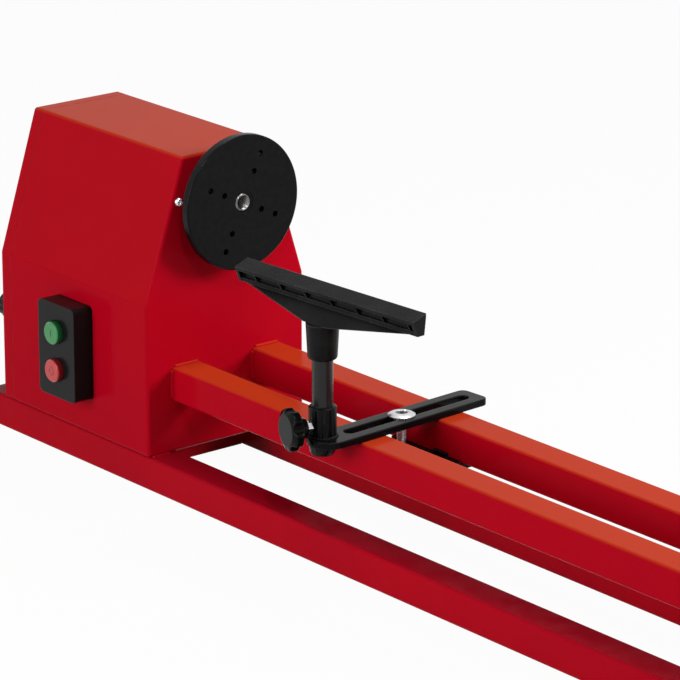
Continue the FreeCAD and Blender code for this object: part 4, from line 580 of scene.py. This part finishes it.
# Moulded black plastic: tube caps, the door's knob, the switch box, the cord gland, the grip and the
# bearings' seals. The mould leaves an even fine texture, and the edges are painted lighter, as rub
# wear and as a painted highlight.

moulded_plastic = finish("moulded_black_plastic", cast_skin, {
    "Skin": (0.007, 0.007, 0.0075, 1), "Worn And Glint": (0.03, 0.03, 0.032, 1), "Grain": 1400.0, "Depth": 0.06,
    "Gloss": 0.18}, specular=0.1)
dress(moulded_plastic, "tube_end_caps", "door_knob", "switch_box", "cord_gland", "handwheel_grip",
      "bearing_seals")


# The star knob on the rest's post: moulded on its screw, with five soft lobes and a polished
# face. The CAD knob is melted and smoothed, so that no edge of it is sharp.

def melted_copy(name, node, grain, rounds, material, body):
    """A CAD node's shape with every edge moulded soft. It stands for the node."""
    piece = copy_of(node, name)
    melt(piece, grain)
    soften = piece.modifiers.new("soften", "CORRECTIVE_SMOOTH")
    soften.smooth_type = "LENGTH_WEIGHTED"
    soften.use_only_smooth = True
    soften.iterations = rounds
    bpy.ops.object.modifier_apply(modifier=soften.name)
    bpy.ops.object.shade_smooth()
    coat_piece(piece, material)
    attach(piece, body)
    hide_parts(node)


glossy_plastic = finish("glossy_black_plastic", cast_skin, {
    "Skin": (0.002, 0.0028, 0.0024, 1), "Worn And Glint": (0.02, 0.02, 0.022, 1), "Grain": 900.0, "Depth": 0.02,
    "Gloss": 0.1}, specular=0.08)
knob_grain, knob_rounds = 0.0004, 12
melted_copy("moulded_knob", "rest_knob", knob_grain, knob_rounds, glossy_plastic, "rest_knob")


# Bare and plated metal: zinc on bolts, nuts and hinge pin, ground steel on the quill, its centre
# and the bearings, turned aluminium on the pulleys. Fine marks run round the spindle's axis, and on
# the motor's shaft and pulley round the motor's.

metal_skin, given, made = new_skin("metal_skin", [
    ("Place", "NodeSocketVector", (0, 0, 0)), ("Metal", "NodeSocketColor", (0.6, 0.6, 0.6, 1)),
    ("Stain", "NodeSocketColor", (0.4, 0.4, 0.4, 1)), ("Marks", "NodeSocketFloat", 900.0),
    ("Depth", "NodeSocketFloat", 0.1), ("Gloss", "NodeSocketFloat", 0.25)])
stain_scale = 160.0
mark_depth = 0.0004

stains = cloud(metal_skin, given.outputs["Place"], stain_scale, detail=5.0)
metal_skin.links.new(tint(metal_skin, spread(metal_skin, stains, 0.35, 0.75), given.outputs["Metal"],
                          given.outputs["Stain"]), made.inputs["Color"])
split = metal_skin.nodes.new("ShaderNodeSeparateXYZ")
metal_skin.links.new(given.outputs["Place"], split.inputs[0])
squares = [sums(metal_skin, "MULTIPLY", split.outputs[axis], split.outputs[axis]) for axis in ("Y", "Z")]
radius = sums(metal_skin, "SQRT", sums(metal_skin, "ADD", *squares))
along_and_out = metal_skin.nodes.new("ShaderNodeCombineXYZ")
metal_skin.links.new(split.outputs["X"], along_and_out.inputs["X"])
metal_skin.links.new(radius, along_and_out.inputs["Y"])
marks = cloud(metal_skin, along_and_out.outputs[0], given.outputs["Marks"], detail=4.0)
dulled = spread(metal_skin, marks, 0.2, 0.8, -0.08, 0.12)
metal_skin.links.new(sums(metal_skin, "ADD", dulled, given.outputs["Gloss"]), made.inputs["Roughness"])
metal_skin.links.new(relief(metal_skin, marks, given.outputs["Depth"], mark_depth), made.inputs["Normal"])


def axle_height(node):
    """How high above the floor the middle of an axle lies."""
    low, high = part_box(node)
    return (low.z + high.z) / 2


spindle_height, motor_height = axle_height("spindle"), axle_height("motor_shaft")
zinc = finish("bright_zinc", metal_skin, {
    "Metal": (0.72, 0.72, 0.74, 1), "Stain": (0.5, 0.5, 0.53, 1), "Marks": 500.0, "Depth": 0.12,
    "Gloss": 0.26}, metallic=1.0)
dress(zinc, "motor_bolts", "knob_nut", "tailstock_bolt", "hinge_pin")
oiled_steel = finish("oiled_steel", metal_skin, {
    "Metal": (0.24, 0.235, 0.23, 1), "Stain": (0.1, 0.1, 0.1, 1), "Marks": 1100.0, "Depth": 0.3,
    "Gloss": 0.26}, metallic=1.0, centre=(0, 0, spindle_height))
ground_on_spindle_axis = ("bearing_outer_rings", "bearing_inner_rings", "quill", "quill_screw",
                          "centre_body", "centre_point", "handwheel_grip_pin")
for label, height, ground_nodes, pulley in (
        ("", spindle_height, ground_on_spindle_axis, "spindle_pulley"),
        ("motor_", motor_height, ("motor_shaft",), "motor_pulley")):
    ground_steel = finish(label + "ground_steel", metal_skin, {
        "Metal": (0.58, 0.58, 0.6, 1), "Stain": (0.46, 0.46, 0.48, 1), "Marks": 1500.0, "Depth": 0.15,
        "Gloss": 0.22}, metallic=1.0, centre=(0, 0, height))
    dress(ground_steel, *ground_nodes)
    turned_aluminium = finish(label + "turned_aluminium", metal_skin, {
        "Metal": (0.42, 0.42, 0.43, 1), "Stain": (0.27, 0.27, 0.285, 1), "Marks": 900.0, "Depth": 0.3,
        "Gloss": 0.3}, metallic=1.0, centre=(0, 0, height))
    dress(turned_aluminium, pulley)


# The faceplate: a turned iron disc, painted black, with the fine rings of the lathe tool left in
# its face and its rims eased. The spindle's nose behind it has a tapered socket for a drive centre.

turned_black = finish("turned_black_iron", metal_skin, {
    "Metal": (0.002, 0.0017, 0.002, 1), "Stain": (0.0045, 0.004, 0.0045, 1), "Marks": 620.0, "Depth": 0.2,
    "Gloss": 0.26}, specular=0.09, centre=(0, 0, spindle_height))
plate_edge = 0.0008
eased_copy("turned_plate", "face_plate", plate_edge, turned_black, "spindle", steps=3)


def pick_top(piece):
    """Goes into edit mode with the piece's top face selected alone, top along its own z."""
    bpy.ops.object.mode_set(mode="EDIT")
    bpy.ops.mesh.select_mode(type="FACE")
    bpy.ops.mesh.select_all(action="DESELECT")
    bpy.ops.object.mode_set(mode="OBJECT")
    for face in piece.data.polygons:
        face.select = face.normal.z > 0.9
    bpy.ops.object.mode_set(mode="EDIT")


def cut_out(tool, piece):
    """Cuts the tool's shape out of the piece, and takes the tool away."""
    cut = piece.modifiers.new("cut", "BOOLEAN")
    cut.operation = "DIFFERENCE"
    cut.solver = "EXACT"
    cut.object = tool
    only(piece)
    bpy.ops.object.modifier_apply(modifier=cut.name)
    bpy.data.objects.remove(tool)


socket_radius, socket_depth, socket_end_share = 0.0062, 0.024, 0.88
mouth_depth, mouth_share, cut_overrun = 0.0006, 1.16, 0.00002
socket_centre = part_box("spindle")[1].x - socket_depth / 2 + cut_overrun

spindle = copy_of("spindle", "bored_spindle")
merge_seams()
bpy.ops.object.mode_set(mode="OBJECT")
only()
bpy.ops.mesh.primitive_cone_add(vertices=64, radius1=socket_radius * socket_end_share, radius2=socket_radius,
                                depth=socket_depth, location=(socket_centre, 0, spindle_height),
                                rotation=(0, math.radians(90), 0))
reamer = bpy.context.object
pick_top(reamer)
bpy.ops.mesh.extrude_region_move(TRANSFORM_OT_translate={"value": (mouth_depth, 0, 0)})
bpy.ops.transform.resize(value=(1, mouth_share, mouth_share))
bpy.ops.object.mode_set(mode="OBJECT")
cut_out(reamer, spindle)
bpy.ops.object.shade_smooth_by_angle(angle=math.radians(30))
coat_piece(spindle, oiled_steel)
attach(spindle, "spindle")
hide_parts("spindle")


# The carriage bolt: a forged head with a shallow dish in its crown, a square neck that keeps it
# from turning in the arm's slot, and a rolled thread. It is zinc plated. A dark zinc disc lies in
# the dish as painted shade.

ridge_height_share, ridge_width_share, ridge_start_share = 0.8, 0.56, 0.6


def thread(core, crest, pitch, length):
    """A rolled thread along z from the origin up: a plain core with a ridge wound round it."""
    only()
    bpy.ops.mesh.primitive_cylinder_add(vertices=32, radius=core, depth=length, location=(0, 0, length / 2))
    bar = bpy.context.object
    only()
    bpy.ops.mesh.primitive_circle_add(vertices=3, radius=1, fill_type="NOTHING",
                                      rotation=(math.radians(90), 0, 0))
    ridge = bpy.context.object
    settle()
    # The ridge's triangle points outward. Its foot is nearly a pitch wide and sinks into the core.
    bpy.ops.object.mode_set(mode="EDIT")
    bpy.ops.mesh.select_all(action="SELECT")
    bpy.ops.transform.rotate(value=math.radians(-90), orient_axis="Y", center_override=(0, 0, 0))
    bpy.ops.transform.resize(value=((crest - core) * ridge_height_share, 1, pitch * ridge_width_share))
    bpy.ops.object.mode_set(mode="OBJECT")
    tip = max(corner.co.x for corner in ridge.data.vertices)
    bpy.ops.object.mode_set(mode="EDIT")
    bpy.ops.transform.translate(value=(crest - tip, 0, pitch * ridge_start_share))
    bpy.ops.object.mode_set(mode="OBJECT")
    wind = ridge.modifiers.new("wind", "SCREW")
    wind.steps = wind.render_steps = 28
    wind.iterations = int(length / pitch - 1)
    wind.screw_offset = pitch
    wind.use_smooth_shade = True
    bpy.ops.object.modifier_apply(modifier=wind.name)
    bpy.ops.object.mode_set(mode="EDIT")
    bpy.ops.mesh.select_all(action="SELECT")
    bpy.ops.mesh.fill_holes(sides=3)
    bpy.ops.mesh.normals_make_consistent(inside=False)
    bpy.ops.object.mode_set(mode="OBJECT")
    only(bar, ridge)
    bpy.ops.object.join()
    settle()
    return bar


low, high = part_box("carriage_bolt")
middle = (low + high) / 2
head_radius = (high.x - low.x) / 2
head_gap = 0.0002
head_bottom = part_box("rest_arm")[1].z + head_gap
crown = high.z - head_bottom
neck_width, neck_depth, neck_edge = 0.0099, 0.0078, 0.0007
rim_share = 0.35
dish_shade_radius_share, dish_shade_depth_share, dish_shade_level_share = 0.43, 0.1, 0.7

# Each ring of the crown has its width as a share of the head's radius and its rise as a share of
# the crown's height: up over the rim, then down into the dish.
head_ring_shares = ((0.16, 0.34), (0.16, 0.18), (0.13, 0.08), (0.05, 0.03), (0.03, -0.24), (0.12, -0.12),
                    (0.2, -0.04))
dish_shade_ring_shares = ((0.1, -0.07), (0.18, -0.03))


def crowned_disc(sides, radius, depth, level, ring_shares):
    """A disc on the bolt's axis whose top is stepped in ring by ring. Level is its middle's height."""
    only()
    bpy.ops.mesh.primitive_cylinder_add(vertices=sides, radius=radius, depth=depth,
                                        location=(middle.x, middle.y, level))
    disc = bpy.context.object
    settle()
    pick_top(disc)
    for width, rise in ring_shares:
        bpy.ops.mesh.inset(thickness=head_radius * width, depth=0)
        bpy.ops.transform.translate(value=(0, 0, crown * rise))
    bpy.ops.object.mode_set(mode="OBJECT")
    bpy.ops.object.shade_smooth_by_angle(angle=math.radians(50))
    return disc


head = crowned_disc(72, head_radius, crown * rim_share, head_bottom + crown * rim_share / 2, head_ring_shares)
only()
bpy.ops.mesh.primitive_cube_add(size=1, location=(middle.x, middle.y, head_bottom - neck_depth / 2),
                                scale=(neck_width, neck_width, neck_depth))
neck = bpy.context.object
settle()
bpy.ops.object.mode_set(mode="EDIT")
bpy.ops.mesh.bevel(offset=neck_edge, segments=2, affect="EDGES")
bpy.ops.object.mode_set(mode="OBJECT")
shank = thread(core=0.0034, crest=0.004, pitch=0.00125, length=head_bottom - neck_depth - low.z)
shank.location = (middle.x, middle.y, low.z)
only(head, neck, shank)
bpy.ops.object.join()
settle()
head.name = "threaded_carriage_bolt"
coat_piece(head, zinc)
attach(head, "rest_bolt")
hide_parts("carriage_bolt")

# A dark zinc disc in the bolt's dish: painted shade.
dish_shade_zinc = finish("dish_shade_zinc", metal_skin, {
    "Metal": (0.11, 0.115, 0.11, 1), "Stain": (0.035, 0.04, 0.036, 1), "Marks": 300.0, "Depth": 0.3,
    "Gloss": 0.3}, metallic=1.0)
dish_shade = crowned_disc(48, head_radius * dish_shade_radius_share, crown * dish_shade_depth_share,
                    head_bottom + crown * dish_shade_level_share, dish_shade_ring_shares)
dish_shade.name = "bolt_dish_shade"
dish_shade.data.materials.append(dish_shade_zinc)
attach(dish_shade, "rest_bolt")


# The rolled steel screw that is moulded into the star knob. It lies level and meets the post at
# an angle, through the nut on the sleeve.

low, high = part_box("knob_screw")
screw_turn = math.radians(13)
screw_crest, thread_depth = 0.003, 0.0005
across, along = screw_crest * math.cos(screw_turn), screw_crest * math.sin(screw_turn)
reach = (high.y - low.y - 2 * along) / math.cos(screw_turn)
screw = thread(core=screw_crest - thread_depth, crest=screw_crest, pitch=0.001, length=reach)
screw.name = "threaded_knob_screw"
screw.rotation_euler = (math.radians(90), 0, -screw_turn)
screw.location = (high.x - across, high.y - along, (low.z + high.z) / 2)
only(screw)
settle()
screw.data.materials.append(zinc)
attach(screw, "rest_knob")
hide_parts("knob_screw")


# The pan head screws that hold the bearing housings to the sheet. The two in front of it have
# cross recesses, pressed in their heads by a tapered punch of two crossed blades.

low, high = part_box("bearing_screws")
tip_band = 0.0004
blade_root, blade_tip, blade_depth, blade_share = 0.0022, 0.0012, 0.0016, 0.3
punch_sink = 0.0007
first_turn = 0.5

screws = copy_of("bearing_screws", "cross_screws")
merge_seams()
bpy.ops.object.mode_set(mode="OBJECT")
front_tips = [corner.co for corner in screws.data.vertices if corner.co.x > high.x - tip_band]
punches = []
for side in (-1, 1):
    tips = [tip for tip in front_tips if tip.y * side > 0]
    centre = sum(tips, Vector()) / len(tips)
    for turn in (first_turn, first_turn + math.pi / 2):
        only()
        bpy.ops.mesh.primitive_cone_add(vertices=4, radius1=blade_root, radius2=blade_tip, depth=blade_depth,
                                        location=(high.x - punch_sink, centre.y, centre.z),
                                        rotation=(0, math.radians(-90), 0))
        punch = bpy.context.object
        bpy.ops.object.transform_apply(location=False, rotation=True, scale=True)
        pivot = tuple(punch.location)
        bpy.ops.object.mode_set(mode="EDIT")
        bpy.ops.mesh.select_all(action="SELECT")
        bpy.ops.transform.rotate(value=math.radians(45), orient_axis="X", center_override=pivot)
        bpy.ops.transform.resize(value=(1, blade_share, 1))
        bpy.ops.transform.rotate(value=turn, orient_axis="X", center_override=pivot)
        bpy.ops.object.mode_set(mode="OBJECT")
        settle()
        punches.append(punch)
for punch in punches:
    cut_out(punch, screws)
bpy.ops.object.shade_smooth_by_angle(angle=math.radians(40))
coat_piece(screws, zinc)
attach(screws, "frame")
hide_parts("bearing_screws")


# The V belt between the two stepped pulleys, on their second step. It is moulded of black rubber,
# and a dusty bloom dulls it.

belt_rubber = finish("belt_rubber", cast_skin, {
    "Skin": (0.012, 0.012, 0.012, 1), "Worn And Glint": (0.05, 0.05, 0.05, 1), "Grain": 900.0, "Depth": 0.4,
    "Gloss": 0.6})
dress(belt_rubber, "drive_belt")


# The start and stop buttons are moulded of gloss plastic, green and red. A bar and a ring of the
# same plastic stand proud of their faces.

def face_centre(button):
    """The middle of a button's front face."""
    low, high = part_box(button)
    return ((low.x + high.x) / 2, low.y, (low.z + high.z) / 2)


bar_size, bar_edge = (0.0011, 0.0008, 0.0066), 0.00025
ring_radius, ring_thickness, ring_shape = 0.0032, 0.0005, (0.85, 0.8, 1.15)

start_green = finish("start_green_plastic", cast_skin, {
    "Skin": (0.01, 0.2, 0.04, 1), "Worn And Glint": (0.03, 0.3, 0.08, 1), "Grain": 1200.0, "Depth": 0.04,
    "Gloss": 0.22}, coat=0.3)
dress(start_green, "start_button")
only()
bpy.ops.mesh.primitive_cube_add(size=1, location=face_centre("start_button"), scale=bar_size)
mark = bpy.context.object
mark.name = "start_mark"
settle()
bpy.ops.object.mode_set(mode="EDIT")
bpy.ops.mesh.bevel(offset=bar_edge, segments=2, affect="EDGES")
bpy.ops.object.mode_set(mode="OBJECT")
mark.data.materials.append(start_green)
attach(mark, "start_button")

stop_red = finish("stop_red_plastic", cast_skin, {
    "Skin": (0.45, 0.008, 0.01, 1), "Worn And Glint": (0.55, 0.03, 0.03, 1), "Grain": 1200.0, "Depth": 0.04,
    "Gloss": 0.22}, coat=0.3)
dress(stop_red, "stop_button")
only()
bpy.ops.mesh.primitive_torus_add(location=face_centre("stop_button"), rotation=(math.radians(90), 0, 0),
                                 major_segments=48, minor_segments=10, major_radius=ring_radius,
                                 minor_radius=ring_thickness)
mark = bpy.context.object
mark.name = "stop_mark"
settle()
bpy.ops.object.mode_set(mode="EDIT")
bpy.ops.mesh.select_all(action="SELECT")
bpy.ops.transform.resize(value=ring_shape)
bpy.ops.object.mode_set(mode="OBJECT")
bpy.ops.object.shade_smooth()
mark.data.materials.append(stop_red)
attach(mark, "stop_button")
